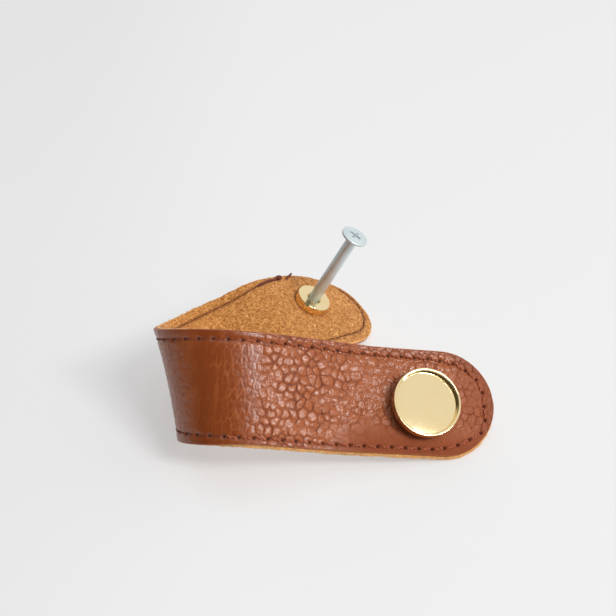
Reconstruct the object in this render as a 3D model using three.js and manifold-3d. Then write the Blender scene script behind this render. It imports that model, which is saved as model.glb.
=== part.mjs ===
// Leather strap pull: a stitched two-layer leather strap folded into an open loop, with a dished
// brass knob through its front leaf and a slotted brass collar with a machine screw in its back leaf.
// Millimetres, +Z up. The pull rests on the plane z = 0, below the middle of its own box.
import * as THREE from 'three';
import { mergeVertices } from 'three/addons/utils/BufferGeometryUtils.js';
import Module from 'manifold-3d';

const wasm = await Module();
wasm.setup();

// The strap. Along it, s runs from the fold line at 0 out to the front tip (+) and the back tip (-).
const strapWidth = 32.2;
const frontLength = 95.5;
const backLength = 95.1;
const faceThickness = 1.05;
const liningThickness = 0.9;
const glueLine = 0.05;

// The front leaf ends in a half round. The back leaf is cut with a long upper corner and a short lower one.
const backUpperCornerLength = 28.2;
const backUpperCornerDepth = 18.0;
const backLowerCornerRadius = 11.9;

// How the strap lies: each turn or twist swells and fades around its centre, over its reach each way.
const foldTurn = { degrees: 186.8, centre: -5.4, reach: 52.3 };
const frontBow = { degrees: -11.5, centre: 52.0, reach: 17.0 };
const backBow = { degrees: -35.0, centre: -56.0, reach: 13.0 };
const foldTwist = { degrees: -60.3, centre: -12.0, reach: 52.0 };
const frontTwist = { degrees: -7.2, centre: 52.0, reach: 17.0 };
const backTwist = { degrees: -10.5, centre: -41.6, reach: 12.8 };

// Attitude of the fold line on the table, in degrees about X, then Y, then Z.
const restTurnX = 58.075;
const restTurnY = -50.52;
const restTurnZ = 1.861;

// Stitching: one line of lock stitch all round, sunk in a channel on both faces.
const stitchPitch = 4.03;
const stitchInsetFront = 2.6;
const stitchInsetBack = 3.2;
const insetBlend = 25;
const channelWidth = 1.0;
const channelDepth = 0.45;
const threadWidth = 0.76;
const threadRise = 0.28;
const threadDip = 0.15;
const threadClearance = 0.07;
// Distance of the stitch line from the edge round each end, counter-clockwise seen from the grain side.
const frontEndInsets = [stitchInsetFront, 3.4, 1.9, 3.0, 2.6, 2.5, stitchInsetFront];
const backEndInsets = [1.4, 1.0, 1.0, 1.1, 3.0, 3.4, stitchInsetBack];
// Towards the back leaf's long corner the upper stitch line closes in on the edge over this length.
const upperTaperLength = 16;

// The knob: a dished brass disc on a neck, with a post riveted through the front leaf.
const knobFromTip = 21.9;
const knobDrop = 0.8;
const knobRadius = 10.0;
const knobHeight = 4.5;
const knobUnderside = 1.7;
const knobNeckRadius = 5.2;
const knobDishRadius = 9.3;
const knobDishFloorRadius = 9.0;
const knobDishDepth = 1.6;
const knobEdgeRound = 0.35;
const knobPostRadius = 2.4;
const rivetRadius = 4.2;
const rivetThickness = 0.7;

// The collar: a slotted brass ring on the inside of the back leaf, riveted through it. Its tail is sunk flush
// into the grain side, so that the leaf lies flat on a drawer.
const collarFromTip = 20.5;
const collarRise = 2.4;
const collarRadius = 5.6;
const collarHeight = 2.8;
const collarChamfer = 0.3;
const collarMouthRadius = 2.6;
const collarMouthDepth = 0.8;
const collarBarrelRadius = 3.1;
const collarSlotWidth = 1.3;
const collarSlotDepth = 0.7;
const collarSlotTurn = 20;
const collarTailRadius = 4.4;
const collarTailThickness = 0.6;

// The machine screw, head outward, screwed through the collar.
const screwRadius = 1.8;
const screwStandOff = 30.6;
const screwTipChamfer = 0.5;
const screwHeadRadius = 4.3;
const screwHeadHeight = 2.3;
const screwHeadRim = 0.7;
const screwHeadDome = 0.2;
const screwHeadFlatRadius = 1.9;
const crossLength = 4.4;
const crossWidth = 0.9;
const crossDepth = 1.3;

// Fits.
const seatClearance = 0.05;
const holeClearance = 0.2;
const threadFit = 0.05;
const plainRoundHole = 1.5;

// Fineness.
const frameStep = 0.5;
const interiorLines = 2;
const roundSides = 36;
const holeSides = 20;
const screwSides = 20;
const endSamples = 400;

const halfWidth = strapWidth / 2;
const strapThickness = faceThickness + glueLine + liningThickness;
const outerLevel = strapThickness / 2;
const innerLevel = -strapThickness / 2;
const faceUnderside = outerLevel - faceThickness;
const liningTop = innerLevel + liningThickness;
const knobAlong = frontLength - knobFromTip;
const knobAcross = -knobDrop;
const collarAlong = -(backLength - collarFromTip);
const collarAcross = collarRise;
const postHoleRadius = knobPostRadius + holeClearance;
const barrelHoleRadius = collarBarrelRadius + holeClearance;
const tailOuter = -strapThickness + seatClearance;
const tailInner = tailOuter + collarTailThickness;
const tailPocketRadius = collarTailRadius + holeClearance;
const tailPocketDepth = strapThickness + tailInner + seatClearance;

// Turn per millimetre of one swelling bend at s.
function turnRate(bend, s) {
  const u = (s - bend.centre) / bend.reach;
  if (Math.abs(u) >= 1) {
    return 0;
  }
  return THREE.MathUtils.degToRad(bend.degrees) * (1 + Math.cos(Math.PI * u)) / (2 * bend.reach);
}

function bendAt(s) {
  return turnRate(foldTurn, s) + turnRate(frontBow, s) + turnRate(backBow, s);
}

function twistAt(s) {
  return turnRate(foldTwist, s) + turnRate(frontTwist, s) + turnRate(backTwist, s);
}

// One short step along the strap: how the direction turns over ds, taken at the middle of the step.
function stepTurn(s, ds) {
  const middle = s + ds / 2;
  const turn = new THREE.Vector3(twistAt(middle), bendAt(middle), 0);
  const angle = turn.length() * Math.abs(ds);
  if (angle === 0) {
    return new THREE.Quaternion();
  }
  return new THREE.Quaternion().setFromAxisAngle(turn.normalize().multiplyScalar(Math.sign(ds)), angle);
}

function stepFrame(frame, s, ds) {
  const half = frame.attitude.clone().multiply(stepTurn(s, ds / 2));
  const along = new THREE.Vector3(ds, 0, 0).applyQuaternion(half);
  return {
    attitude: frame.attitude.clone().multiply(stepTurn(s, ds)).normalize(),
    point: frame.point.clone().add(along),
  };
}

// Frames along the strap from the fold line out to both tips.
function frameRun(length, direction) {
  const frames = [{ attitude: new THREE.Quaternion(), point: new THREE.Vector3() }];
  const count = Math.ceil(length / frameStep) + 2;
  for (let i = 0; i < count; i += 1) {
    frames.push(stepFrame(frames[i], direction * i * frameStep, direction * frameStep));
  }
  return frames;
}

const frontFrames = frameRun(frontLength, 1);
const backFrames = frameRun(backLength, -1);

function frameAt(s) {
  const direction = s < 0 ? -1 : 1;
  const frames = s < 0 ? backFrames : frontFrames;
  const index = Math.min(Math.floor(Math.abs(s) / frameStep), frames.length - 1);
  const start = direction * index * frameStep;
  const rest = s - start;
  return rest === 0 ? frames[index] : stepFrame(frames[index], start, rest);
}

// A point of the folded strap: s along it, v across it, w out of its grain side.
function place(s, v, w) {
  const frame = frameAt(s);
  return new THREE.Vector3(0, v, w).applyQuaternion(frame.attitude).add(frame.point);
}

function insetAt(s) {
  const share = THREE.MathUtils.smoothstep(s, -insetBlend, insetBlend);
  return THREE.MathUtils.lerp(stitchInsetBack, stitchInsetFront, share);
}

function upperInsetAt(s) {
  const cornerStart = backUpperCornerLength - backLength;
  const share = THREE.MathUtils.smoothstep(-s, -cornerStart - upperTaperLength, -cornerStart);
  return THREE.MathUtils.lerp(insetAt(s), backEndInsets[0], share);
}

// Stations along the straight part of the strap, half a stitch apart.
const stationStep = stitchPitch / 2;
const frontStraight = Math.min(frontLength - halfWidth, knobAlong - postHoleRadius - plainRoundHole);
const backStraight = Math.min(backLength - backUpperCornerLength, -collarAlong - barrelHoleRadius - plainRoundHole);
const lastStation = Math.floor(frontStraight / stationStep);
const firstStation = -Math.floor(backStraight / stationStep);
const stations = [];
for (let j = firstStation; j <= lastStation; j += 1) {
  stations.push(j * stationStep);
}

// Outline of each end, counter-clockwise, from the last straight station round to the other edge.
function frontEndOutline() {
  const start = stations[stations.length - 1];
  const centre = frontLength - halfWidth;
  const path = new THREE.CurvePath();
  path.add(new THREE.LineCurve(new THREE.Vector2(start, -halfWidth), new THREE.Vector2(centre, -halfWidth)));
  path.add(new THREE.EllipseCurve(centre, 0, halfWidth, halfWidth, -Math.PI / 2, Math.PI / 2, false));
  path.add(new THREE.LineCurve(new THREE.Vector2(centre, halfWidth), new THREE.Vector2(start, halfWidth)));
  return path;
}

function backEndOutline() {
  const start = stations[0];
  const upperCentre = -backLength + backUpperCornerLength;
  const upperLow = halfWidth - backUpperCornerDepth;
  const lowerCentre = -backLength + backLowerCornerRadius;
  const lowerHigh = -halfWidth + backLowerCornerRadius;
  const path = new THREE.CurvePath();
  path.add(new THREE.LineCurve(new THREE.Vector2(start, halfWidth), new THREE.Vector2(upperCentre, halfWidth)));
  path.add(new THREE.EllipseCurve(
    upperCentre, upperLow, backUpperCornerLength, backUpperCornerDepth, Math.PI / 2, Math.PI, false));
  path.add(new THREE.LineCurve(
    new THREE.Vector2(-backLength, upperLow), new THREE.Vector2(-backLength, lowerHigh)));
  path.add(new THREE.EllipseCurve(
    lowerCentre, lowerHigh, backLowerCornerRadius, backLowerCornerRadius, Math.PI, 1.5 * Math.PI, false));
  path.add(new THREE.LineCurve(new THREE.Vector2(lowerCentre, -halfWidth), new THREE.Vector2(start, -halfWidth)));
  return path;
}

// Unit normal to the left of travel, so it points into the strap.
function inwardNormals(points) {
  return points.map((point, i) => {
    const before = points[Math.max(i - 1, 0)];
    const after = points[Math.min(i + 1, points.length - 1)];
    const along = after.clone().sub(before).normalize();
    return new THREE.Vector2(-along.y, along.x);
  });
}

function insetBetween(insets, share) {
  const place01 = share * (insets.length - 1);
  const index = Math.min(Math.floor(place01), insets.length - 2);
  return THREE.MathUtils.lerp(insets[index], insets[index + 1], THREE.MathUtils.smoothstep(place01 - index, 0, 1));
}

// The stitch line round an end, in even steps, with the outline point that belongs to each step.
function endStations(outline, insets) {
  const edge = outline.getSpacedPoints(endSamples);
  const inward = inwardNormals(edge);
  const line = edge.map((point, i) => point.clone().addScaledVector(inward[i], insetBetween(insets, i / endSamples)));
  const reached = [0];
  for (let i = 1; i < line.length; i += 1) {
    reached.push(reached[i - 1] + line[i].distanceTo(line[i - 1]));
  }
  const total = reached[reached.length - 1];
  const steps = 2 * Math.round(total / stitchPitch) + (stations.length % 2 === 0 ? 1 : 0);
  const result = [];
  let k = 0;
  for (let i = 1; i < steps; i += 1) {
    const target = total * i / steps;
    while (reached[k + 1] < target) {
      k += 1;
    }
    const share = (target - reached[k]) / (reached[k + 1] - reached[k]);
    result.push({
      edge: edge[k].clone().lerp(edge[k + 1], share),
      line: line[k].clone().lerp(line[k + 1], share),
    });
  }
  return result;
}

// One closed round of stations: lower run to the front, front end, upper run to the back, back end.
function stationRound() {
  const lower = stations.map((s) => ({
    edge: new THREE.Vector2(s, -halfWidth),
    line: new THREE.Vector2(s, -halfWidth + insetAt(s)),
  }));
  const upper = stations.map((s) => ({
    edge: new THREE.Vector2(s, halfWidth),
    line: new THREE.Vector2(s, halfWidth - upperInsetAt(s)),
  })).reverse();
  const frontEnd = endStations(frontEndOutline(), frontEndInsets);
  const backEnd = endStations(backEndOutline(), backEndInsets);
  const all = [...lower, ...frontEnd, ...upper, ...backEnd];
  all.forEach((station, i) => {
    const before = all[(i + all.length - 1) % all.length].line;
    const after = all[(i + 1) % all.length].line;
    const along = after.clone().sub(before).normalize();
    station.inward = new THREE.Vector2(-along.y, along.x);
  });
  for (const station of [...lower, ...upper]) {
    station.inward.set(0, -Math.sign(station.line.y));
  }
  return { all, frontCount: frontEnd.length, backCount: backEnd.length };
}

const round = stationRound();

// The strap's flat plan as one list of points and triangles, with the channel's floor marked.
function strapPlan() {
  const points = [];
  const sunk = [];
  const triangles = [];
  const addPoint = (x, y, isFloor) => {
    points.push(new THREE.Vector2(x, y));
    sunk.push(isFloor);
    return points.length - 1;
  };
  const ring = (pick, isFloor) => round.all.map((station) => {
    const point = pick(station);
    return addPoint(point.x, point.y, isFloor);
  });
  const half = channelWidth / 2;
  const edge = ring((station) => station.edge, false);
  const outer = ring((station) => station.line.clone().addScaledVector(station.inward, -half), false);
  const floor = ring((station) => station.line, true);
  const inner = ring((station) => station.line.clone().addScaledVector(station.inward, half), false);
  const strip = (first, second) => {
    for (let i = 0; i < first.length; i += 1) {
      const next = (i + 1) % first.length;
      triangles.push([first[i], first[next], second[next]], [first[i], second[next], second[i]]);
    }
  };
  strip(edge, outer);
  strip(outer, floor);
  strip(floor, inner);

  // Lines across the strap between the two runs of the stitch channel.
  const runCount = stations.length;
  const upperStart = runCount + round.frontCount;
  const columns = stations.map((s, j) => {
    const low = inner[j];
    const high = inner[upperStart + runCount - 1 - j];
    const column = [low];
    for (let k = 1; k <= interiorLines; k += 1) {
      const v = THREE.MathUtils.lerp(points[low].y, points[high].y, k / (interiorLines + 1));
      column.push(addPoint(s, v, false));
    }
    column.push(high);
    return column;
  });
  for (let j = 0; j + 1 < runCount; j += 1) {
    for (let k = 0; k <= interiorLines; k += 1) {
      const a = columns[j][k];
      const b = columns[j + 1][k];
      const c = columns[j + 1][k + 1];
      const d = columns[j][k + 1];
      triangles.push([a, b, c], [a, c, d]);
    }
  }

  // The two ends, each with the hole that its metal piece goes through.
  const fillEnd = (contour, along, across, radius) => {
    const hole = [];
    for (let i = 0; i < holeSides; i += 1) {
      const angle = -2 * Math.PI * i / holeSides;
      hole.push(addPoint(along + radius * Math.cos(angle), across + radius * Math.sin(angle), false));
    }
    const order = [...contour, ...hole];
    const faces = THREE.ShapeUtils.triangulateShape(
      contour.map((index) => points[index]), [hole.map((index) => points[index])]);
    for (const face of faces) {
      const [a, b, c] = face.map((index) => order[index]);
      const area = points[b].clone().sub(points[a]).cross(points[c].clone().sub(points[a]));
      triangles.push(area > 0 ? [a, b, c] : [a, c, b]);
    }
  };
  const frontColumn = columns[runCount - 1].slice(1, -1).reverse();
  const frontRing = inner.slice(runCount - 1, upperStart + 1);
  fillEnd([...frontRing, ...frontColumn], knobAlong, knobAcross, postHoleRadius);
  const backColumn = columns[0].slice(1, -1);
  const backRing = [...inner.slice(upperStart + runCount - 1), inner[0]];
  fillEnd([...backRing, ...backColumn], collarAlong, collarAcross, barrelHoleRadius);
  return { points, sunk, triangles };
}

function solidFrom(positions, indices) {
  const geometry = new THREE.BufferGeometry();
  geometry.setAttribute('position', new THREE.Float32BufferAttribute(positions, 3));
  geometry.setIndex(indices);
  geometry.computeVertexNormals();
  return geometry;
}

// One leather layer: the plan carried to an upper and a lower level and closed round its edges.
function layer(plan, upperLevel, lowerLevel) {
  const positions = [];
  for (const level of [upperLevel, lowerLevel]) {
    plan.points.forEach((point, i) => {
      positions.push(...place(point.x, point.y, level(plan.sunk[i])).toArray());
    });
  }
  const count = plan.points.length;
  const indices = [];
  const edges = new Set();
  for (const [a, b, c] of plan.triangles) {
    indices.push(a, b, c, a + count, c + count, b + count);
    edges.add(`${a} ${b}`).add(`${b} ${c}`).add(`${c} ${a}`);
  }
  for (const edge of edges) {
    const [a, b] = edge.split(' ').map(Number);
    if (!edges.has(`${b} ${a}`)) {
      indices.push(a + count, b + count, b, a + count, b, a);
    }
  }
  return solidFrom(positions, indices);
}

// The thread on one face: a four-sided strand that dives at each needle hole and rises between.
function strand(surface, outward) {
  const positions = [];
  const indices = [];
  const count = round.all.length;
  round.all.forEach((station, i) => {
    const dives = i % 2 === 0;
    const side = dives ? threadWidth * 0.2 : threadWidth / 2;
    const wall = channelDepth * (1 - side / (channelWidth / 2));
    const bed = -channelDepth + threadClearance;
    const flank = -wall + threadClearance;
    const crest = dives ? flank + 0.1 - threadDip * 0.2 : threadRise;
    const section = [[0, bed], [side, flank], [0, crest], [-side, flank]];
    for (const [across, height] of section) {
      const point = station.line.clone().addScaledVector(station.inward, across);
      positions.push(...place(point.x, point.y, surface + outward * height).toArray());
    }
    const next = (i + 1) % count;
    for (let k = 0; k < 4; k += 1) {
      const a = i * 4 + k;
      const b = i * 4 + (k + 1) % 4;
      const c = next * 4 + (k + 1) % 4;
      const d = next * 4 + k;
      if (outward > 0) {
        indices.push(a, b, c, a, c, d);
      } else {
        indices.push(a, c, b, a, d, c);
      }
    }
  });
  return solidFrom(positions, indices);
}

function toSolid(geometry) {
  const bare = geometry.clone();
  bare.deleteAttribute('normal');
  bare.deleteAttribute('uv');
  const merged = mergeVertices(bare, 1e-4);
  return new wasm.Manifold(new wasm.Mesh({
    numProp: 3,
    vertProperties: new Float32Array(merged.attributes.position.array),
    triVerts: new Uint32Array(merged.index.array),
  }));
}

function fromSolid(solid) {
  const mesh = solid.getMesh();
  return solidFrom(Array.from(mesh.vertProperties), Array.from(mesh.triVerts));
}

function turned(profile, sides) {
  return new THREE.LatheGeometry(profile.map(([r, y]) => new THREE.Vector2(r, y)), sides);
}

// Knob, turned about Y with the grain face of the leather at y = 0.
function knobGeometry() {
  const seat = seatClearance;
  const back = -strapThickness - seatClearance;
  const top = knobHeight;
  const low = knobUnderside;
  return turned([
    [0, back - rivetThickness],
    [rivetRadius, back - rivetThickness],
    [rivetRadius, back],
    [knobPostRadius, back],
    [knobPostRadius, seat],
    [knobNeckRadius, seat],
    [knobNeckRadius, low],
    [knobRadius - knobEdgeRound, low],
    [knobRadius, low + knobEdgeRound],
    [knobRadius, top - knobEdgeRound],
    [knobRadius - knobEdgeRound, top],
    [knobDishRadius, top],
    [knobDishFloorRadius, top - knobDishDepth],
    [0, top - knobDishDepth],
  ], roundSides);
}

// Collar, turned about Y with the suede face of the leather at y = 0 and a driver slot across its top.
function collarGeometry() {
  const bore = screwRadius + threadFit;
  const seat = seatClearance;
  const top = collarHeight;
  const ring = turned([
    [bore, tailOuter],
    [collarTailRadius, tailOuter],
    [collarTailRadius, tailInner],
    [collarBarrelRadius, tailInner],
    [collarBarrelRadius, seat],
    [collarRadius, seat],
    [collarRadius, top - collarChamfer],
    [collarRadius - collarChamfer, top],
    [collarMouthRadius, top],
    [bore, top - collarMouthDepth],
    [bore, tailOuter],
  ], roundSides);
  const slot = new THREE.BoxGeometry(2.5 * collarRadius, 2 * collarSlotDepth, collarSlotWidth);
  slot.translate(0, top, 0);
  slot.rotateY(THREE.MathUtils.degToRad(collarSlotTurn));
  return fromSolid(toSolid(ring).subtract(toSolid(slot)));
}

// The pocket for the collar's tail, placed where the collar stands.
function tailPocket(standing) {
  const pocket = new THREE.CylinderGeometry(tailPocketRadius, tailPocketRadius, 2 * tailPocketDepth, roundSides);
  pocket.translate(0, -strapThickness, 0);
  standing.updateMatrix();
  return pocket.applyMatrix4(standing.matrix);
}

// Screw, turned about Y with the suede face of the leather at y = 0 and a cross recess in its head.
function screwGeometry() {
  const neck = screwStandOff - screwHeadHeight;
  const rimTop = screwStandOff - screwHeadDome;
  const body = turned([
    [0, tailOuter],
    [screwRadius - screwTipChamfer, tailOuter],
    [screwRadius, tailOuter + screwTipChamfer],
    [screwRadius, neck],
    [screwHeadRadius, rimTop - screwHeadRim],
    [screwHeadRadius, rimTop],
    [screwHeadFlatRadius, screwStandOff],
    [0, screwStandOff],
  ], screwSides);
  const slotA = new THREE.BoxGeometry(crossLength, 2 * crossDepth, crossWidth);
  slotA.translate(0, screwStandOff, 0);
  const slotB = slotA.clone().rotateY(Math.PI / 2);
  return fromSolid(toSolid(body).subtract(toSolid(slotA)).subtract(toSolid(slotB)));
}

// Stands a turned piece on the strap: its axis leaves the leather on the chosen side.
function stand(mesh, s, v, surface, outward) {
  const frame = frameAt(s);
  const across = new THREE.Vector3(1, 0, 0).applyQuaternion(frame.attitude);
  const axis = new THREE.Vector3(0, 0, outward).applyQuaternion(frame.attitude);
  const third = new THREE.Vector3().crossVectors(across, axis);
  mesh.quaternion.setFromRotationMatrix(new THREE.Matrix4().makeBasis(across, axis, third));
  mesh.position.copy(place(s, v, surface));
  return mesh;
}

function metal(colour, roughness) {
  return new THREE.MeshStandardMaterial({ color: colour, roughness, metalness: 1 });
}

function cloth(colour, roughness) {
  return new THREE.MeshStandardMaterial({ color: colour, roughness, metalness: 0 });
}

function named(name, geometry, material) {
  const mesh = new THREE.Mesh(geometry, material);
  mesh.name = name;
  return mesh;
}

const plan = strapPlan();
const grainLeather = cloth(0x8a4a2c, 0.55);
const suede = cloth(0xc68c50, 0.95);
const redThread = cloth(0x6e2d18, 0.8);
const brass = metal(0xe8d3a0, 0.2);
const zinc = metal(0xc4ccc8, 0.3);

const strapFace = named('strap_face', layer(
  plan,
  (isFloor) => (isFloor ? outerLevel - channelDepth : outerLevel),
  () => faceUnderside,
), grainLeather);
const strapLining = named('strap_lining', layer(
  plan,
  () => liningTop,
  (isFloor) => (isFloor ? innerLevel + channelDepth : innerLevel),
), suede);
const stitchingOutside = named('stitching_outside', strand(outerLevel, 1), redThread);
const stitchingInside = named('stitching_inside', strand(innerLevel, -1), redThread.clone());
const knob = stand(named('knob', knobGeometry(), brass), knobAlong, knobAcross, outerLevel, 1);
const collar = stand(
  named('collar', collarGeometry(), brass.clone()), collarAlong, collarAcross, innerLevel, -1);
const screw = stand(named('screw', screwGeometry(), zinc), collarAlong, collarAcross, innerLevel, -1);
strapFace.geometry = fromSolid(toSolid(strapFace.geometry).subtract(toSolid(tailPocket(collar))));

// The folded pull, turned to how it lies, then set down on z = 0 over the middle of its box.
const pull = new THREE.Group();
pull.add(strapFace, strapLining, stitchingOutside, stitchingInside, knob, collar, screw);
pull.rotation.set(
  THREE.MathUtils.degToRad(restTurnX),
  THREE.MathUtils.degToRad(restTurnY),
  THREE.MathUtils.degToRad(restTurnZ),
  'XYZ',
);
const object = new THREE.Group();
object.add(pull);
object.updateMatrixWorld(true);
const box = new THREE.Box3().setFromObject(object, true);
pull.position.set(-(box.min.x + box.max.x) / 2, -(box.min.y + box.max.y) / 2, -box.min.z);
object.updateMatrixWorld(true);

export default object;
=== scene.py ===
import math

import bpy
import numpy as np
from mathutils import Matrix, Vector, kdtree


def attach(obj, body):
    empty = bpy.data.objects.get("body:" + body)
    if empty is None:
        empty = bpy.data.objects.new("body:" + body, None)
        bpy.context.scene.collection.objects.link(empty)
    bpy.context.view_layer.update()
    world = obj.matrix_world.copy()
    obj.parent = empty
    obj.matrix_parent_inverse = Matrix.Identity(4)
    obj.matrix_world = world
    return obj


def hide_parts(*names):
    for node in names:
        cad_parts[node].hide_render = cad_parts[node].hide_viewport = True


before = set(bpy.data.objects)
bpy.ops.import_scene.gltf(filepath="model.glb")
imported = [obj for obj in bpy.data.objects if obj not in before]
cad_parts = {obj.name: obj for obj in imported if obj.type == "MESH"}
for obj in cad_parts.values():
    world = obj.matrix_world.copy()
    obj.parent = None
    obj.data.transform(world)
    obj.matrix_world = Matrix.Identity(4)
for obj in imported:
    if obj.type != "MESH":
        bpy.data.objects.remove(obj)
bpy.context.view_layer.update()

MM = 0.001

# The strap, in millimetres. On it, s runs from the fold line at 0 to the front tip (+) and the back tip (-),
# v runs across it, and w runs out of its grain side.
STRAP_WIDTH = 32.2
FRONT_LENGTH = 95.5
BACK_LENGTH = 95.1
FACE_THICKNESS = 1.05
LINING_THICKNESS = 0.9
GLUE_LINE = 0.05
BACK_UPPER_CORNER_LENGTH = 28.2
BACK_UPPER_CORNER_DEPTH = 18.0
BACK_LOWER_CORNER_RADIUS = 11.9

# How it lies: each turn or twist swells and fades round its centre. Degrees, centre, reach each way.
TURNS = ((186.8, -5.4, 52.3), (-11.5, 52.0, 17.0), (-35.0, -56.0, 13.0))
TWISTS = ((-60.3, -12.0, 52.0), (-7.2, 52.0, 17.0), (-10.5, -41.6, 12.8))
REST_TURN = (58.075, -50.52, 1.861)
FOLD_POINT = (-40.7204, -24.8744, 22.7191)
WALK_STEP = 0.25
STRIDES_PAST_TIP = 4

# How finely the outline and the stitch line are drawn.
LINE_STEP = 0.1
CORNER_POINTS = 160
FRONT_END_POINTS = 500
SEAM_RUN_POINTS = 1400

# The stitching.
STITCH_PITCH = 4.03
UPPER_FIRST_HOLE = -5.07
LOWER_FIRST_HOLE = -0.54
UPPER_RUN_MARGIN = 1.0
LOWER_RUN_MARGIN = 2.0
INSET_FRONT = 2.6
INSET_BACK = 3.2
INSET_BLEND = 25.0
FRONT_END_INSETS = (3.1, 3.0, 2.4, 3.0, 1.9, 3.5, 3.1)
BACK_END_INSETS = (3.2, 3.4, 3.0, 1.3, 1.0, 1.0, 1.4)
UPPER_TAPER = 16.0
STITCH_GAP = 0.75
SLANT_TURNS = 62.0
PLY_SHARE = 0.27
PLY_SPREAD = 0.85
PLY_TURNS = 1.0
STITCH_ON_SURFACE = 0.65
SUNK_THREAD = (-24.0, 18.5)
HIDDEN_SEAM = (-91.0, -71.0)
LINING_SHOWS = 0.75

# The fittings.
KNOB_ALONG = 73.6
KNOB_ACROSS = -0.8
KNOB_RADIUS = 10.0
KNOB_HEIGHT = 4.5
KNOB_UNDERSIDE = 1.7
KNOB_NECK_RADIUS = 5.2
KNOB_DISH_RADIUS = 9.3
KNOB_DISH_FLOOR_RADIUS = 9.0
KNOB_DISH_DEPTH = 1.6
KNOB_POST_RADIUS = 2.4
RIVET_RADIUS = 4.2
RIVET_THICKNESS = 0.7
COLLAR_ALONG = -74.6
COLLAR_ACROSS = 2.4
COLLAR_RADIUS = 5.6
COLLAR_HEIGHT = 2.8
COLLAR_BARREL_RADIUS = 3.1
COLLAR_TAIL_RADIUS = 4.4
COLLAR_TAIL_THICKNESS = 0.6
COLLAR_MOUTH_RADIUS = 2.6
COLLAR_MOUTH_DEPTH = 0.8
COLLAR_SLOT_WIDTH = 1.3
COLLAR_SLOT_DEPTH = 0.7
COLLAR_SLOT_TURN = 20.0
SCREW_RADIUS = 1.8
SCREW_STAND_OFF = 30.6
SCREW_HEAD_RADIUS = 4.3
SCREW_HEAD_HEIGHT = 2.3
SCREW_HEAD_RIM = 0.7
SCREW_HEAD_DOME = 0.2
SCREW_HEAD_FLAT_RADIUS = 1.9
SCREW_PITCH = 0.7
SCREW_RINGS_A_TURN = 8
CROSS_LENGTH = 4.4
CROSS_WIDTH = 0.9
CROSS_DEPTH = 1.3
CROSS_TURN = 0.35
CROSS_OVERSHOOT = 0.6
CROSS_BOTTOM_SHARE = 0.45
CROSS_TOP_SHARE = 1.12
CROSS_WIDTH_TAPER = 0.45
SCREW_THREAD_DEPTH = 0.28
SCREW_THREAD_START = 0.45
SCREW_THREAD_STOP = 0.2
SCREW_PLAIN_START = 0.1
SCREW_TIP_SUNK = 0.05
SCREW_TIP_LENGTH = 0.4
SCREW_TIP_INSETS = (0.5, 0.1)
FIT_GAP = 0.02
TAIL_PROUD = 0.04
BORE_GAP = 0.12

# Roundings of turned corners: the full radius, the steps in each, what part of a side one may take (1 in so
# many), how far out the support points are, and the angle at which a corner stays sharp.
ROUNDING = 0.3
ROUNDING_STEPS = 4
ROUNDING_LIMIT = 2.1
SUPPORT_GAP = 0.04
SHARP_ANGLE = 38

HALF_WIDTH = STRAP_WIDTH / 2
STRAP_THICKNESS = FACE_THICKNESS + GLUE_LINE + LINING_THICKNESS
GRAIN_LEVEL = STRAP_THICKNESS / 2
SUEDE_LEVEL = -STRAP_THICKNESS / 2
GLUE_LEVEL = GRAIN_LEVEL - FACE_THICKNESS
FRONT_CENTRE = FRONT_LENGTH - HALF_WIDTH
UPPER_CORNER_START = BACK_UPPER_CORNER_LENGTH - BACK_LENGTH
UPPER_CORNER_LEVEL = HALF_WIDTH - BACK_UPPER_CORNER_DEPTH
LOWER_CORNER_START = BACK_LOWER_CORNER_RADIUS - BACK_LENGTH
LOWER_CORNER_LEVEL = BACK_LOWER_CORNER_RADIUS - HALF_WIDTH

# Rows of stitches: the thread's level and side, how far each stitch leans and arches, and its width.
OUTER_ROW = {"level": GRAIN_LEVEL - 0.22, "outward": 1, "slant": 0.2, "arch": 0.13, "width": 0.92}
SUNK_ROW = {"level": GRAIN_LEVEL - 0.33, "outward": 1, "slant": 0.03, "arch": 0.16, "width": 0.58}
INNER_ROW = {"level": SUEDE_LEVEL + 0.18, "outward": -1, "slant": 0.05, "arch": 0.08, "width": 0.58}

# Loose thread at the seam's end: its thickness, then (s, v, w) places. Here w is from the suede's level, and
# less than 0 stands out of it.
THREAD_ENDS = {
    "thread_tail": (0.7, (
        (-72.7, 13.9, 0.2), (-73.2, 14.2, -0.35), (-74.2, 14.6, -0.45), (-75.3, 15.0, -0.4),
        (-76.3, 15.5, -0.35))),
    "thread_knot": (0.85, (
        (-68.0, 14.5, 0.2), (-68.8, 15.2, -0.45), (-70.2, 15.4, -0.5), (-71.0, 14.8, -0.45),
        (-70.0, 14.4, -0.6), (-69.0, 14.6, -0.5), (-70.6, 14.9, 0.1))),
    "thread_band": (0.95, (
        (-59.8, 13.8, 0.25), (-61.0, 14.0, -0.15), (-64.0, 14.4, -0.25), (-67.0, 14.8, -0.2),
        (-68.2, 14.8, 0.25))),
}

# Fibres on the cut edge: how many on a square metre, their size, the shortest one's share of it, and how far
# they tilt in radians. They stand on a strip from a little inside the suede's level to a little past the
# glue's.
FIBRE_DENSITY = 4.5e6
FIBRE_LENGTH = 0.8
FIBRE_THICKNESS = 0.07
FIBRE_SHORTEST = 0.35
FIBRE_TILT = 0.7
FIBRE_SEED = 5
FIBRE_STRIP_STEP = 0.8
FIBRE_STRIP_INSIDE_SUEDE = 0.12
FIBRE_STRIP_PAST_GLUE = 0.1

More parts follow.
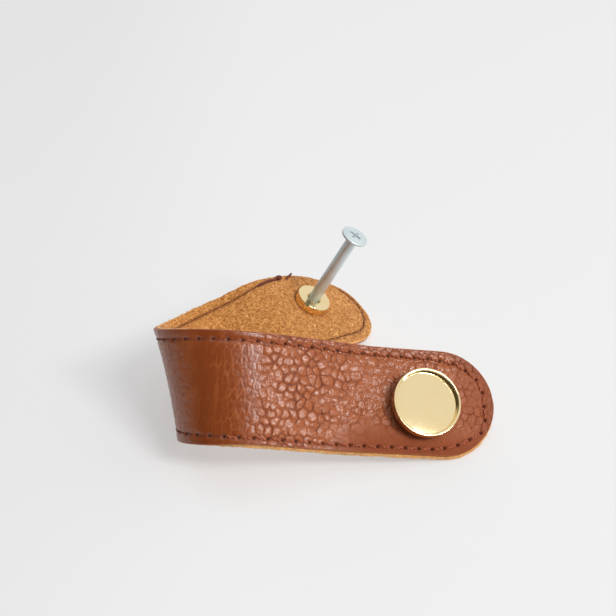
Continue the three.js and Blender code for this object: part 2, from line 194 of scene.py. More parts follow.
# The grain's own sizes and depths.
PEBBLE_SIZE = 2.5
PEBBLE_DEPTH = 0.20
PEBBLE_DOME = 0.07
PEBBLE_LEAN = 0.22
CREASE_WIDTH = 0.19
WRINKLE_SIZE = 0.95
WRINKLE_WIDTH = 0.13
WRINKLE_DEPTH = 0.075
CROSS_WRINKLE_SIZE = 1.35
CROSS_WRINKLE_WIDTH = 0.12
CROSS_WRINKLE_DEPTH = 0.10
VEIN_SIZE = 3.4
VEIN_WIDTH = 0.17
VEIN_HEIGHT = 0.05
HAIR_SIZE = 1.9
HAIR_WIDTH = 0.13
RIPPLE_HEIGHT = 0.03
STREAK_HEIGHT = 0.10
FAINT_CREASE_DEPTH = 0.05
FOLD_MARK = (-11.5, 38.0, 58.0)
FOLD_MARK_WIDTH = 0.4
FOLD_MARK_HEIGHT = 0.07
FOLD_MARK_FADE = 3
DULL_TILT = 0.8

# Where the grain changes, from where to where. All lie along the strap but one, which lies across it. The
# full pebbles start at the same distance in front of the fold line and behind it.
KNOB_GRAIN = (40, 58)
LOW_GRAIN_ALONG = (34, 54)
LOW_GRAIN_ACROSS = (-5, -13)
FULL_PEBBLES = (30, 42)
FRONT_SLACK = (20.5, 27.5)
FOLD_SLACK = (9.5, 3)
BACK_SLACK = (-26, -40)
FRONT_VEINS = (7, 18)
BACK_VEINS = (9, 3)
STREAKS_START = (-30, -18)
STREAKS_END = (13, 5)

# How the thread and the fittings press into the leather.
GRAIN_SEAM_PULL = 0.20
GRAIN_HOLE_PIT = 0.5
SUEDE_SEAM_PULL = 0.26
SUEDE_HOLE_PIT = 0.2
SEAM_DENT_WIDTH = 0.75
# The mark widths set how far the painted shade reaches beside the seam and round the holes; the seam's mark
# also calms the grain beside it.
SEAM_MARK_WIDTH = 0.6
HOLE_PIT_WIDTH = 0.5
HOLE_MARK_WIDTH = 0.62
HIDDEN_SEAM_FADE = 1.5
PRESS_OUTSIDE = 1.0
PRESS_INSIDE = 0.2
# The rim's ring round each fitting is both a small dent and the reach of a painted shade.
RIM_FROM_FITTING = 0.15
RIM_WIDTH = 0.35
GRAIN_RIM_DEPTH = 0.12
SUEDE_RIM_DEPTH = 0.10

# The layers' edges and their hidden side.
GRAIN_EDGE_RADIUS = 0.42
SUEDE_EDGE_RADIUS = 0.3
PAST_SEAM_PAD = 0.05
GRAIN_WOBBLE = 0.10
SUEDE_WOBBLE = 0.34
FRAY_WIDTH = 0.8
FRAY_BACK_CENTRE = -70
LAYER_GAP = 0.01
HIDDEN_ROWS = 5
CUT_LEATHER = ("cut_edge", "border")

# Zones by their distance from the strap's edge, from where to where.
PAD_ZONE = (2.4, 1.2)
CALM_ZONE = (3.0, 1.5)
RELIEF_ZONE = (0.1, 0.7)
BORDER_ZONE = (2.6, 0.6)
GRAIN_CUT_ZONE = (0.16, 0.02)
SUEDE_CUT_ZONE = (0.25, 0.03)

# Where the grain side is matte, with painted shade darkening its colour: near the low edge, and less so at
# the front tip.
LOW_DULL_ALONG = (42, 60)
LOW_DULL_ACROSS = (-3, -13)
TIP_DULL = (80, 90)
TIP_DULL_SHARE = 0.55

# How the layers' points are spread: the angle where the round ends stop, how much longer the back end's
# curve is than its length, the fold's reach, the width under which an end is narrow, where the trim of the
# lower edge starts, and the most of the width that it takes.
END_ANGLE = 88.5
BACK_END_ARC = 1.3
FOLD_SPAN = (-22, 12)
NARROW_END = 5.0
TRIM_STARTS = (8, 24)
MOST_TRIM = 0.2

# Tables behind the noise: how many numbers or cells they have a side and how far their corner is shifted,
# and a distance larger than any from a point to its nearest cell.
CLOUD_TABLE = 64
CLOUD_SHIFT = (17.3, 29.7)
CELL_TABLE = 128
CELL_SHIFT = 40
FAR_OFF = 9.0

# The photograph's camera, in metres in this frame, and its focal length in widths of the picture.
CAMERA_PLACE = (-0.005047, -0.281316, 0.233680)
CAMERA_FORWARD = (0.002693, 0.811042, -0.584974)
CAMERA_UP = (0.023368, 0.584780, 0.810859)
FOCAL_IN_WIDTHS = 1172.2 / 616

# The room's light: which way is bright, how bright and dark it is, where the one turns into the other, and
# how far off the lamps are.
BRIGHT_SIDE = (0.650, 0.610, 0.450)
ROOM_BRIGHT = 0.90
ROOM_DARK = 0.08
ROOM_RAMP = (-0.1, 0.35)
LAMP_DISTANCE = 2.5

# The table: how far it reaches, where across it it turns darker towards the left as painted shade, and the
# two greys, left then right, that its colour and its glow run between.
TABLE_REACH = 2.0
TABLE_RAMP = (-0.12, -0.01)
TABLE_COLOURS = (0.418, 0.445)
TABLE_GLOWS = (0.387, 0.41)


# Ramps and ridges.

def smooth(low, high, x):
    """0 before low, 1 after high and a soft ramp between them. With low above high it falls instead."""
    t = np.clip((x - low) / (high - low), 0, 1)
    return t * t * (3 - 2 * t)


def ridge(distance, width):
    """1 on a line, fading softly over about the width on each side of it."""
    return np.exp(-(distance / width) ** 2)


def stretch_between(start, stop, fade, x):
    """1 from start to stop and 0 elsewhere, with each end softened by the fade on both sides of it."""
    return smooth(start - fade, start + fade, x) * smooth(stop + fade, stop - fade, x)


# The folded strap's path.

def swell(bends, s):
    """Turn in radians per millimetre at s."""
    total = 0.0
    for degrees, centre, reach in bends:
        u = (s - centre) / reach
        if abs(u) < 1:
            total += math.radians(degrees) * (1 + math.cos(math.pi * u)) / (2 * reach)
    return total


def turned_by(twist, bend):
    """Rotation by a small turn about the strap's length and its width."""
    turn = Vector((twist, bend, 0.0))
    if turn.length == 0:
        return Matrix.Identity(3)
    return Matrix.Rotation(turn.length, 3, turn.normalized())


def bent(attitude, s, stride):
    """The strap's attitude after a stride, at the rates of twist and turn that it has at s."""
    return attitude @ turned_by(swell(TWISTS, s) * stride, swell(TURNS, s) * stride)


def walk(direction, length):
    """Stations, points and attitudes from the fold line to one tip and a few strides past it."""
    stride = direction * WALK_STEP
    point = Vector()
    attitude = Matrix.Identity(3)
    points = [point]
    attitudes = [attitude]
    for i in range(math.ceil(length / WALK_STEP) + STRIDES_PAST_TIP):
        halfway = bent(attitude, stride * (i + 0.25), stride / 2)
        point = point + halfway.col[0] * stride
        attitude = bent(attitude, stride * (i + 0.5), stride)
        points.append(point)
        attitudes.append(attitude)
    return stride * np.arange(len(points)), np.array(points), np.array(attitudes)


def rest_attitude():
    x, y, z = (math.radians(a) for a in REST_TURN)
    return Matrix.Rotation(x, 3, "X") @ Matrix.Rotation(y, 3, "Y") @ Matrix.Rotation(z, 3, "Z")


PATH_S, PATH_POINTS, PATH_AXES = (
    np.concatenate([back[:0:-1], front])
    for back, front in zip(walk(-1, BACK_LENGTH), walk(1, FRONT_LENGTH)))
REST = np.array(rest_attitude())


def axes_at(s):
    """Along, across and outward at s: the columns of one 3 x 3 matrix for each s."""
    s = np.atleast_1d(np.asarray(s, float))
    axes = np.empty((len(s), 3, 3))
    for i in range(3):
        for j in range(3):
            axes[:, i, j] = np.interp(s, PATH_S, PATH_AXES[:, i, j])
    return REST @ axes


def place(s, v, w):
    """Points of the folded strap in metres: s along it, v across it, w out of its grain side."""
    s = np.atleast_1d(np.asarray(s, float))
    middle = np.stack([np.interp(s, PATH_S, PATH_POINTS[:, k]) for k in range(3)], -1) @ REST.T
    axes = axes_at(s)
    v = np.broadcast_to(np.asarray(v, float), s.shape)
    w = np.broadcast_to(np.asarray(w, float), s.shape)
    return (middle + axes[:, :, 1] * v[:, None] + axes[:, :, 2] * w[:, None] + np.array(FOLD_POINT)) * MM


# The strap's outline, its stitch line and distances from them.

def side_edge(s, corner_start, corner_level, corner_length, corner_depth):
    """How far one long edge is from the strap's middle line, with its curves at the front and the back."""
    s = np.asarray(s, float)
    front = HALF_WIDTH * np.sqrt(np.clip(1 - (np.maximum(s - FRONT_CENTRE, 0) / HALF_WIDTH) ** 2, 0, 1))
    corner = np.maximum(corner_start - s, 0) / corner_length
    back = corner_level + corner_depth * np.sqrt(np.clip(1 - corner ** 2, 0, 1))
    return np.where(s > 0, front, back)


def upper_edge(s):
    return side_edge(
        s, UPPER_CORNER_START, UPPER_CORNER_LEVEL, BACK_UPPER_CORNER_LENGTH, BACK_UPPER_CORNER_DEPTH)


def lower_edge(s):
    return -side_edge(
        s, LOWER_CORNER_START, -LOWER_CORNER_LEVEL, BACK_LOWER_CORNER_RADIUS, BACK_LOWER_CORNER_RADIUS)


def arc(centre, radii, start, stop, count):
    angles = np.radians(np.linspace(start, stop, count))
    return np.stack([centre[0] + radii[0] * np.cos(angles), centre[1] + radii[1] * np.sin(angles)], -1)


def gone_along(line):
    """How far each point of a line is from its start, along it."""
    return np.concatenate([[0], np.cumsum(np.linalg.norm(np.diff(line, axis=0), axis=1))])


def picked(at, gone, line):
    """Points of a line at the given distances along it."""
    return np.stack([np.interp(at, gone, line[:, k]) for k in range(2)], -1)


def spaced(line, step):
    """The same line in even steps."""
    gone = gone_along(line)
    at = np.linspace(0, gone[-1], max(2, int(round(gone[-1] / step)) + 1))
    return picked(at, gone, line)


def run_inset(s):
    return INSET_BACK + (INSET_FRONT - INSET_BACK) * smooth(-INSET_BLEND, INSET_BLEND, s)


def upper_inset(s):
    share = smooth(0, 1, (UPPER_CORNER_START + UPPER_TAPER - s) / UPPER_TAPER)
    return run_inset(s) + (BACK_END_INSETS[-1] - run_inset(s)) * share


def offset_line(edge, insets):
    """A line inside an end's edge, at insets that blend from one to the next along it."""
    share = np.linspace(0, len(insets) - 1, len(edge))
    index = np.minimum(share.astype(int), len(insets) - 2)
    blend = smooth(0, 1, share - index)
    depth = np.take(insets, index) * (1 - blend) + np.take(insets, index + 1) * blend
    along = np.gradient(edge, axis=0)
    along /= np.linalg.norm(along, axis=1)[:, None]
    inward = np.stack([along[:, 1], -along[:, 0]], -1)
    return edge + inward * depth[:, None]


def back_end_edge():
    lower = arc(
        (LOWER_CORNER_START, LOWER_CORNER_LEVEL), (BACK_LOWER_CORNER_RADIUS,) * 2, 270, 180, CORNER_POINTS)
    upper = arc(
        (UPPER_CORNER_START, UPPER_CORNER_LEVEL), (BACK_UPPER_CORNER_LENGTH, BACK_UPPER_CORNER_DEPTH),
        180, 90, CORNER_POINTS)
    start = np.array([[UPPER_CORNER_START, -HALF_WIDTH]])
    return spaced(np.concatenate([start, lower, upper]), LINE_STEP)


def front_end_edge():
    return arc((FRONT_CENTRE, 0), (HALF_WIDTH,) * 2, 90, -90, FRONT_END_POINTS)


def edge_line(step):
    """The strap's edge, clockwise seen from the grain side, with its straight runs in the given step."""
    upper = np.arange(UPPER_CORNER_START, FRONT_CENTRE, step)
    return np.concatenate([
        np.stack([upper, np.full_like(upper, HALF_WIDTH)], -1),
        front_end_edge(),
        np.stack([upper[::-1], np.full_like(upper, -HALF_WIDTH)], -1),
        back_end_edge(),
    ])


def seam_line():
    """The stitch line, clockwise seen from the grain side, from the upper run's back end."""
    upper = np.linspace(UPPER_CORNER_START, FRONT_CENTRE, SEAM_RUN_POINTS)
    lower = upper[::-1]
    return spaced(np.concatenate([
        np.stack([upper, HALF_WIDTH - upper_inset(upper)], -1),
        offset_line(front_end_edge(), FRONT_END_INSETS),
        np.stack([lower, -HALF_WIDTH + run_inset(lower)], -1),
        offset_line(back_end_edge(), BACK_END_INSETS),
    ]), LINE_STEP)


def run_beat(first, back_end):
    """Where one run's holes are along the strap: a stitch apart, through its first one."""
    backward = np.arange(first, back_end, -STITCH_PITCH)[::-1]
    return np.concatenate([backward, np.arange(first + STITCH_PITCH, FRONT_CENTRE, STITCH_PITCH)])


def shared_out(start, length):
    """Holes inside a stretch of the seam, as near to a stitch apart as even spaces allow."""
    return np.linspace(start, start + length, int(round(length / STITCH_PITCH)) + 1)[1:-1]


def needle_holes(line):
    """Where the holes are along the line: each run keeps its own beat, and the ends share what is left."""
    gone = gone_along(line)
    front = int(np.argmax(line[:, 0]))
    back = front + int(np.argmin(line[front:, 0]))
    upper_s = run_beat(UPPER_FIRST_HOLE, UPPER_CORNER_START + UPPER_RUN_MARGIN)
    lower_s = run_beat(LOWER_FIRST_HOLE, LOWER_CORNER_START + LOWER_RUN_MARGIN)[::-1]
    upper = np.interp(upper_s, line[:front, 0], gone[:front])
    lower = np.interp(-lower_s, -line[front:back, 0], gone[front:back])
    front_end = shared_out(upper[-1], lower[0] - upper[-1])
    back_end = shared_out(lower[-1], gone[-1] + upper[0] - lower[-1])
    return np.concatenate([upper, front_end, lower, back_end]) % gone[-1]


SEAM = seam_line()
HOLE_POINTS = picked(needle_holes(SEAM), gone_along(SEAM), SEAM)


def tree_of(points):
    tree = kdtree.KDTree(len(points))
    for i, (s, v) in enumerate(points):
        tree.insert((s, v, 0.0), i)
    tree.balance()
    return tree


def distance_to(tree, s, v):
    pairs = zip(s.ravel().tolist(), v.ravel().tolist())
    return np.array([tree.find((a, b, 0.0))[2] for a, b in pairs]).reshape(s.shape)


OUTLINE_TREE = tree_of(edge_line(LINE_STEP))
SEAM_TREE = tree_of(SEAM)
HOLE_TREE = tree_of(HOLE_POINTS)


# Leather grain as heights over the flat strap.

def cloudy(x, y, size, seed):
    """Soft noise from 0 to 1 with lumps of about the given size."""
    rng = np.random.default_rng(seed)
    table = rng.random((CLOUD_TABLE, CLOUD_TABLE))
    gx = x / size + CLOUD_SHIFT[0]
    gy = y / size + CLOUD_SHIFT[1]
    ix = np.floor(gx).astype(int)
    iy = np.floor(gy).astype(int)
    fx = smooth(0, 1, gx - ix)
    fy = smooth(0, 1, gy - iy)
    a = table[ix % CLOUD_TABLE, iy % CLOUD_TABLE]
    b = table[(ix + 1) % CLOUD_TABLE, iy % CLOUD_TABLE]
    c = table[ix % CLOUD_TABLE, (iy + 1) % CLOUD_TABLE]
    d = table[(ix + 1) % CLOUD_TABLE, (iy + 1) % CLOUD_TABLE]
    return (a * (1 - fx) + b * fx) * (1 - fy) + (c * (1 - fx) + d * fx) * fy


def wander(x, y, size, seed, reach):
    """The same noise as a shift, from half the reach one way to half the reach the other way."""
    return reach * (cloudy(x, y, size, seed) - 0.5)


def pebbles(x, y, size, seed, spread=0.42, swelling=0.18):
    """Cells of uneven size. Gives the distance to the nearest crease, the distance to the cell's middle,
    a random number for each cell and the way to its middle."""
    rng = np.random.default_rng(seed)
    jitter = (rng.random((CELL_TABLE, CELL_TABLE, 2)) - 0.5) * 2 * spread
    weight = (rng.random((CELL_TABLE, CELL_TABLE)) - 0.5) * 2 * swelling
    lot = rng.random((CELL_TABLE, CELL_TABLE))
    gx = x / size + CELL_SHIFT
    gy = y / size + CELL_SHIFT
    ix = np.floor(gx).astype(int)
    iy = np.floor(gy).astype(int)
    first = np.full(x.shape, FAR_OFF)
    second = np.full(x.shape, FAR_OFF)
    chosen = np.zeros(x.shape)
    way_x = np.zeros(x.shape)
    way_y = np.zeros(x.shape)
    for di in range(-2, 3):
        for dj in range(-2, 3):
            i = ix + di
            j = iy + dj
            cell = (i % CELL_TABLE, j % CELL_TABLE)
            px = i + 0.5 + jitter[cell][..., 0] + 0.5 * (j % 2)
            py = j + 0.5 + jitter[cell][..., 1]
            gap = np.hypot(px - gx, py - gy) - weight[cell]
            nearer = gap < first
            second = np.where(nearer, first, np.minimum(second, gap))
            chosen = np.where(nearer, lot[cell], chosen)
            way_x = np.where(nearer, gx - px, way_x)
            way_y = np.where(nearer, gy - py, way_y)
            first = np.where(nearer, gap, first)
    return (second - first) * size / 2, np.hypot(way_x, way_y) * size, chosen, way_x * size, way_y * size


def pebbled_grain(s, v):
    """Slack leather: its height, its creases, how much painted shade each crease takes and the number of
    each point's pebble.
    """
    bent_s = s + wander(s, v, size=2.4, seed=3, reach=1.1)
    bent_v = v + wander(s, v, size=2.4, seed=4, reach=1.1)
    crease_gap, middle_gap, lot, way_s, way_v = pebbles(
        bent_s, bent_v, PEBBLE_SIZE, seed=11, spread=0.3, swelling=0.08)
    crease = ridge(crease_gap, CREASE_WIDTH)
    dome = -PEBBLE_DOME * (middle_gap / (PEBBLE_SIZE / 2)) ** 2
    lean_s = np.sin(lot * 91.7)
    lean_v = np.sin(lot * 57.3 + 1.0)
    lean = 0.5 * PEBBLE_LEAN * (lean_s * way_s + lean_v * way_v)
    wrinkle = ridge(pebbles(bent_s * 1.25, bent_v, WRINKLE_SIZE, seed=12)[0], WRINKLE_WIDTH)
    far = smooth(*KNOB_GRAIN, s)
    uneven_v = v + wander(s, v, size=5.0, seed=19, reach=4)
    low = smooth(*LOW_GRAIN_ACROSS, uneven_v) * smooth(*LOW_GRAIN_ALONG, s)
    uneven = (0.55 + 0.9 * cloudy(s, v, size=3.6, seed=6)) * (1 - 0.25 * far) * (1 - 0.75 * low)
    cross_s = s * 1.6 + 0.5 * cloudy(s, v, size=1.2, seed=24)
    cross_gap = pebbles(cross_s, v * 0.8, CROSS_WRINKLE_SIZE, seed=23, spread=0.4, swelling=0.1)[0]
    cross = ridge(cross_gap, CROSS_WRINKLE_WIDTH) * (0.35 + 0.65 * far) * (1 - 0.6 * low)
    full = (1 - 0.7 * low) * (1 - 0.35 * far) * (0.45 + 0.55 * smooth(*FULL_PEBBLES, np.abs(s)))
    height = -PEBBLE_DEPTH * uneven * crease + (dome + lean) * full
    height = height - WRINKLE_DEPTH * wrinkle * (1 - crease) - CROSS_WRINKLE_DEPTH * cross
    return height, crease, np.maximum(crease * uneven, 0.45 * cross), lot


def stretched_grain(s, v, ragged, crease):
    """Leather drawn tight round the fold. Gives its height and its veins."""
    near_slack = np.maximum(smooth(*FRONT_VEINS, s + ragged), smooth(*BACK_VEINS, s + ragged))
    vein_s = s * 1.9 + 1.5 * cloudy(s, v, size=3.0, seed=9)
    vein_v = v * 0.5 + 2.0 * cloudy(s, v, size=4.0, seed=10)
    vein = ridge(pebbles(vein_s, vein_v, VEIN_SIZE, seed=21)[0], VEIN_WIDTH) * near_slack
    hair_s = s * 1.6 + 1.5 * cloudy(s, v, size=2.0, seed=15)
    hair_v = v * 0.7 + 1.5 * cloudy(s, v, size=3.0, seed=16)
    hair = 0.6 * ridge(pebbles(hair_s, hair_v, HAIR_SIZE, seed=22)[0], HAIR_WIDTH) * near_slack ** 2
    vein = np.maximum(vein, hair)
    ripple = wander(s * 0.8, v * 0.2, size=1.0, seed=14, reach=RIPPLE_HEIGHT)
    streak = wander(s, v * 0.35, size=1.6, seed=27, reach=STREAK_HEIGHT)
    streak = streak * smooth(*STREAKS_END, s) * smooth(*STREAKS_START, s)
    return vein * VEIN_HEIGHT + ripple + streak - FAINT_CREASE_DEPTH * near_slack * crease, vein


def fold_mark(s, v):
    """A long raised line near the front leaf's low edge."""
    across, start, stop = FOLD_MARK
    line = ridge(v - across + wander(s, v, size=5.0, seed=18, reach=0.8), FOLD_MARK_WIDTH)
    return line * stretch_between(start, stop, FOLD_MARK_FADE, s)


def grain_relief(s, v):
    """Height of the grain side over its plain level. Gives also how far each point is in a crease, which
    sets the painted shade in the creases, how far it is stretched and on a vein, and its pebble's number."""
    pebbled, crease, crease_shade, lot = pebbled_grain(s, v)
    ragged = wander(s, v, size=4.0, seed=8, reach=5.0)
    stretched, vein = stretched_grain(s, v, ragged, crease)
    behind_fold = 0.5 * smooth(*FOLD_SLACK, s + 0.5 * ragged) + 0.5 * smooth(*BACK_SLACK, s + ragged)
    slack = np.maximum(smooth(*FRONT_SLACK, s + ragged), behind_fold)
    height = slack * pebbled + (1 - slack) * stretched + FOLD_MARK_HEIGHT * fold_mark(s, v)
    return height, crease_shade * slack, 1 - slack, vein * (1 - slack), lot * slack


def seam_hidden(s, v):
    """Where the trimmed corner of the back leaf hides the seam on the suede side."""
    low, high = HIDDEN_SEAM
    return stretch_between(low, high, HIDDEN_SEAM_FADE, s) * (v > 0)


def seam_relief(s, v, pull, pit):
    """How far the thread pulls the leather down, with the pits at the needle holes. Gives also how near each
    point is to a hole and to the seam."""
    beside = distance_to(SEAM_TREE, s, v)
    hole = distance_to(HOLE_TREE, s, v)
    height = -pull * ridge(beside, SEAM_DENT_WIDTH) - pit * ridge(hole, HOLE_PIT_WIDTH)
    return height, ridge(hole, HOLE_MARK_WIDTH), ridge(beside, SEAM_MARK_WIDTH)


def pressed(s, v, *fittings):
    """How far the leather is pressed flat round each fitting, and the fold at the fitting's rim, which the
    finishes also darken as painted shade.
    """
    flat = 0.0
    rim = 0.0
    for along, across, radius in fittings:
        reach = np.hypot(s - along, v - across)
        flat = np.maximum(flat, smooth(radius + PRESS_OUTSIDE, radius - PRESS_INSIDE, reach))
        rim = np.maximum(rim, ridge(reach - radius - RIM_FROM_FITTING, RIM_WIDTH))
    return flat, rim


# Strap layers.

def strap_columns(front_step, fold_step, back_step):
    """Stations along the strap, closer together where the shape asks for it."""
    last = math.radians(END_ANGLE)
    back_count = int(BACK_UPPER_CORNER_LENGTH * BACK_END_ARC / back_step)
    front_count = int(HALF_WIDTH * last / front_step)
    fold_start, fold_stop = FOLD_SPAN
    return np.concatenate([
        UPPER_CORNER_START - BACK_UPPER_CORNER_LENGTH * np.sin(np.linspace(last, 0, back_count)),
        np.arange(UPPER_CORNER_START, fold_start, back_step)[1:],
        np.arange(fold_start, fold_stop, fold_step),
        np.arange(fold_stop, FRONT_CENTRE - front_step / 2, front_step),
        FRONT_CENTRE + HALF_WIDTH * np.sin(np.linspace(0, last, front_count)),
    ])


def strap_grid(s, inner_rows, edge_steps, trim=0.0):
    """For each station, v values from the lower edge to the upper one, close together at the edges. The trim
    takes the lower edge in on the front leaf. Gives s and v of every point."""
    low = lower_edge(s)[:, None]
    high = upper_edge(s)[:, None]
    low = low + np.minimum(trim * smooth(*TRIM_STARTS, s)[:, None], MOST_TRIM * (high - low))
    squeeze = np.minimum(1.0, (high - low) / NARROW_END)
    steps = np.array(edge_steps)[None, :] * squeeze
    inner = np.linspace(0, 1, inner_rows)[None, :]
    start = low + steps[:, -1:]
    stop = high - steps[:, -1:]
    v = np.concatenate([
        low + steps[:, :-1], start + (stop - start) * inner, (high - steps[:, :-1])[:, ::-1]], axis=1)
    return np.repeat(s[:, None], v.shape[1], axis=1), v


def edge_round(gap, radius):
    """Drop of a rounded edge at a distance from it."""
    short = np.clip(radius - gap, 0, radius)
    return radius - np.sqrt(np.maximum(radius ** 2 - short ** 2, 0))


def added(name, data):
    """A new object in the scene."""
    piece = bpy.data.objects.new(name, data)
    bpy.context.scene.collection.objects.link(piece)
    return piece


def mesh_from(name, points, faces):
    mesh = bpy.data.meshes.new(name)
    mesh.from_pydata([tuple(p) for p in points], [], [tuple(f) for f in faces])
    mesh.validate()
    return added(name, mesh)


def shade_smooth(piece):
    piece.data.polygons.foreach_set("use_smooth", np.ones(len(piece.data.polygons), bool))
    piece.data.update()


def store(piece, name, values):
    """Keeps a number or a vector for each point of a piece, for its material."""
    values = np.asarray(values, np.float32)
    kind = "FLOAT_VECTOR" if values.ndim == 2 else "FLOAT"
    attribute = piece.data.attributes.new(name, kind, "POINT")
    attribute.data.foreach_set("vector" if kind == "FLOAT_VECTOR" else "value", values.ravel())


def frayed(flat, wobble):
    """Flat (s, v, w) places with those near the strap's edge moved in or out unevenly."""
    s, v, w = flat.T
    shift = wander(s, v + 3 * w, size=1.3, seed=31, reach=wobble)
    shift += wander(s, v + 5 * w, size=0.5, seed=32, reach=0.6 * wobble)
    gap = distance_to(OUTLINE_TREE, s, v)
    centre = np.stack([np.clip(s, FRAY_BACK_CENTRE, FRONT_CENTRE), np.zeros(len(flat))], -1)
    outward = flat[:, :2] - centre
    outward /= np.maximum(np.linalg.norm(outward, axis=1), 1e-6)[:, None]
    moved = flat[:, :2] + outward * (shift * ridge(gap, FRAY_WIDTH))[:, None]
    return np.column_stack([moved, w])


def leather_layer(name, s, v, shown, hidden_level, side, wobble, kept):
    """A closed layer: the shown face over all rows, the hidden one over a few, joined round the edge. The
    kept values are the shown face's. On the rest those of cut leather are 1 and the others 0."""
    columns, rows = v.shape
    pick = np.linspace(rows - 1, 0, HIDDEN_ROWS).round().astype(int)
    edge_level = (shown[:, [0, -1]] + hidden_level) / 2
    flat = np.concatenate([
        np.stack([s, v, shown], -1),
        np.stack([s[:, -1], v[:, -1], edge_level[:, 1]], -1)[:, None, :],
        np.stack([s[:, pick], v[:, pick], np.full((columns, HIDDEN_ROWS), hidden_level)], -1),
        np.stack([s[:, 0], v[:, 0], edge_level[:, 0]], -1)[:, None, :],
    ], axis=1)
    ring = flat.shape[1]
    flat = frayed(flat.reshape(-1, 3), wobble)
    faces = []
    for i in range(columns - 1):
        a = i * ring
        b = a + ring
        for j in range(ring):
            k = (j + 1) % ring
            faces.append((a + j, b + j, b + k, a + k))
    faces.append(list(range(ring)))
    faces.append([(columns - 1) * ring + j for j in reversed(range(ring))])
    piece = mesh_from(name, place(*flat.T), faces if side > 0 else [face[::-1] for face in faces])
    shade_smooth(piece)
    store(piece, "strap_place", flat)
    for label, values in kept.items():
        whole = np.full((columns, ring), 1.0 if label in CUT_LEATHER else 0.0)
        whole[:, :rows] = values
        store(piece, label, whole.ravel())
    return piece


def grain_layer():
    s, v = strap_grid(
        strap_columns(front_step=0.25, fold_step=0.5, back_step=0.34),
        inner_rows=112, edge_steps=(0.0, 0.1, 0.25, 0.45), trim=LINING_SHOWS)
    relief, crease, stretch, vein, lot = grain_relief(s, v)
    seam, pit, beside = seam_relief(s, v, GRAIN_SEAM_PULL, GRAIN_HOLE_PIT)
    gap = np.minimum(distance_to(OUTLINE_TREE, s, v), v - v[:, :1])
    pad = PAST_SEAM_PAD * smooth(*PAD_ZONE, gap)
    flat, rim = pressed(
        s, v, (KNOB_ALONG, KNOB_ACROSS, KNOB_NECK_RADIUS), (COLLAR_ALONG, COLLAR_ACROSS, COLLAR_TAIL_RADIUS))
    calm = (1 - 0.6 * beside) * (1 - 0.35 * smooth(*CALM_ZONE, gap)) * (1 - flat)
    relief = relief * calm * smooth(*RELIEF_ZONE, gap)
    height = relief + seam + pad - edge_round(gap, GRAIN_EDGE_RADIUS) - GRAIN_RIM_DEPTH * rim
    # Where the grain is matte and darkened with painted shade.
    dull = np.maximum(
        smooth(*LOW_DULL_ACROSS, v) * smooth(*LOW_DULL_ALONG, s), TIP_DULL_SHARE * smooth(*TIP_DULL, s))
    return leather_layer("grain_leather", s, v, GRAIN_LEVEL + height, GLUE_LEVEL, 1, GRAIN_WOBBLE, {
        "dull": dull, "crease": crease, "stretch": stretch, "vein": vein, "pebble": lot, "needle_hole": pit,
        "seam": beside, "rim": rim, "cut_edge": smooth(*GRAIN_CUT_ZONE, gap),
        "border": smooth(*BORDER_ZONE, gap)})


def suede_layer():
    s, v = strap_grid(
        strap_columns(front_step=0.45, fold_step=0.5, back_step=0.45),
        inner_rows=66, edge_steps=(0.0, 0.12, 0.3))
    shows = 1 - seam_hidden(s, v)
    seam, pit, beside = (shows * part for part in seam_relief(s, v, SUEDE_SEAM_PULL, SUEDE_HOLE_PIT))
    gap = distance_to(OUTLINE_TREE, s, v)
    nap = wander(s, v, size=0.9, seed=41, reach=0.10) + wander(s, v, size=3.1, seed=42, reach=0.12)
    flat, rim = pressed(
        s, v, (KNOB_ALONG, KNOB_ACROSS, RIVET_RADIUS), (COLLAR_ALONG, COLLAR_ACROSS, COLLAR_RADIUS))
    height = nap * (1 - flat) + seam - edge_round(gap, SUEDE_EDGE_RADIUS) - SUEDE_RIM_DEPTH * rim
    return leather_layer(
        "suede_lining", s, v, SUEDE_LEVEL - height, GLUE_LEVEL - LAYER_GAP, -1, SUEDE_WOBBLE,
        {"seam": beside, "needle_hole": pit, "rim": rim, "cut_edge": smooth(*SUEDE_CUT_ZONE, gap)})


# Node trees.

class Socket:
    """A number socket that Python's own signs add, multiply, take away and raise to a power."""

    def __init__(self, tree, link):
        self.tree = tree
        self.link = link

    def _with(self, operation, first, second):
        node = self.tree.add("ShaderNodeMath", {"operation": operation}, {0: first, 1: second})
        return Socket(self.tree, node.outputs[0])

    def __add__(self, other):
        return self._with("ADD", self, other)

    __radd__ = __add__

    def __mul__(self, other):
        return self._with("MULTIPLY", self, other)

    __rmul__ = __mul__

    def __rsub__(self, other):
        return self._with("SUBTRACT", other, self)

    def __pow__(self, other):
        return self._with("POWER", self, other)

    def limited(self):
        node = self.tree.add("ShaderNodeClamp", {}, {0: self})
        return Socket(self.tree, node.outputs[0])


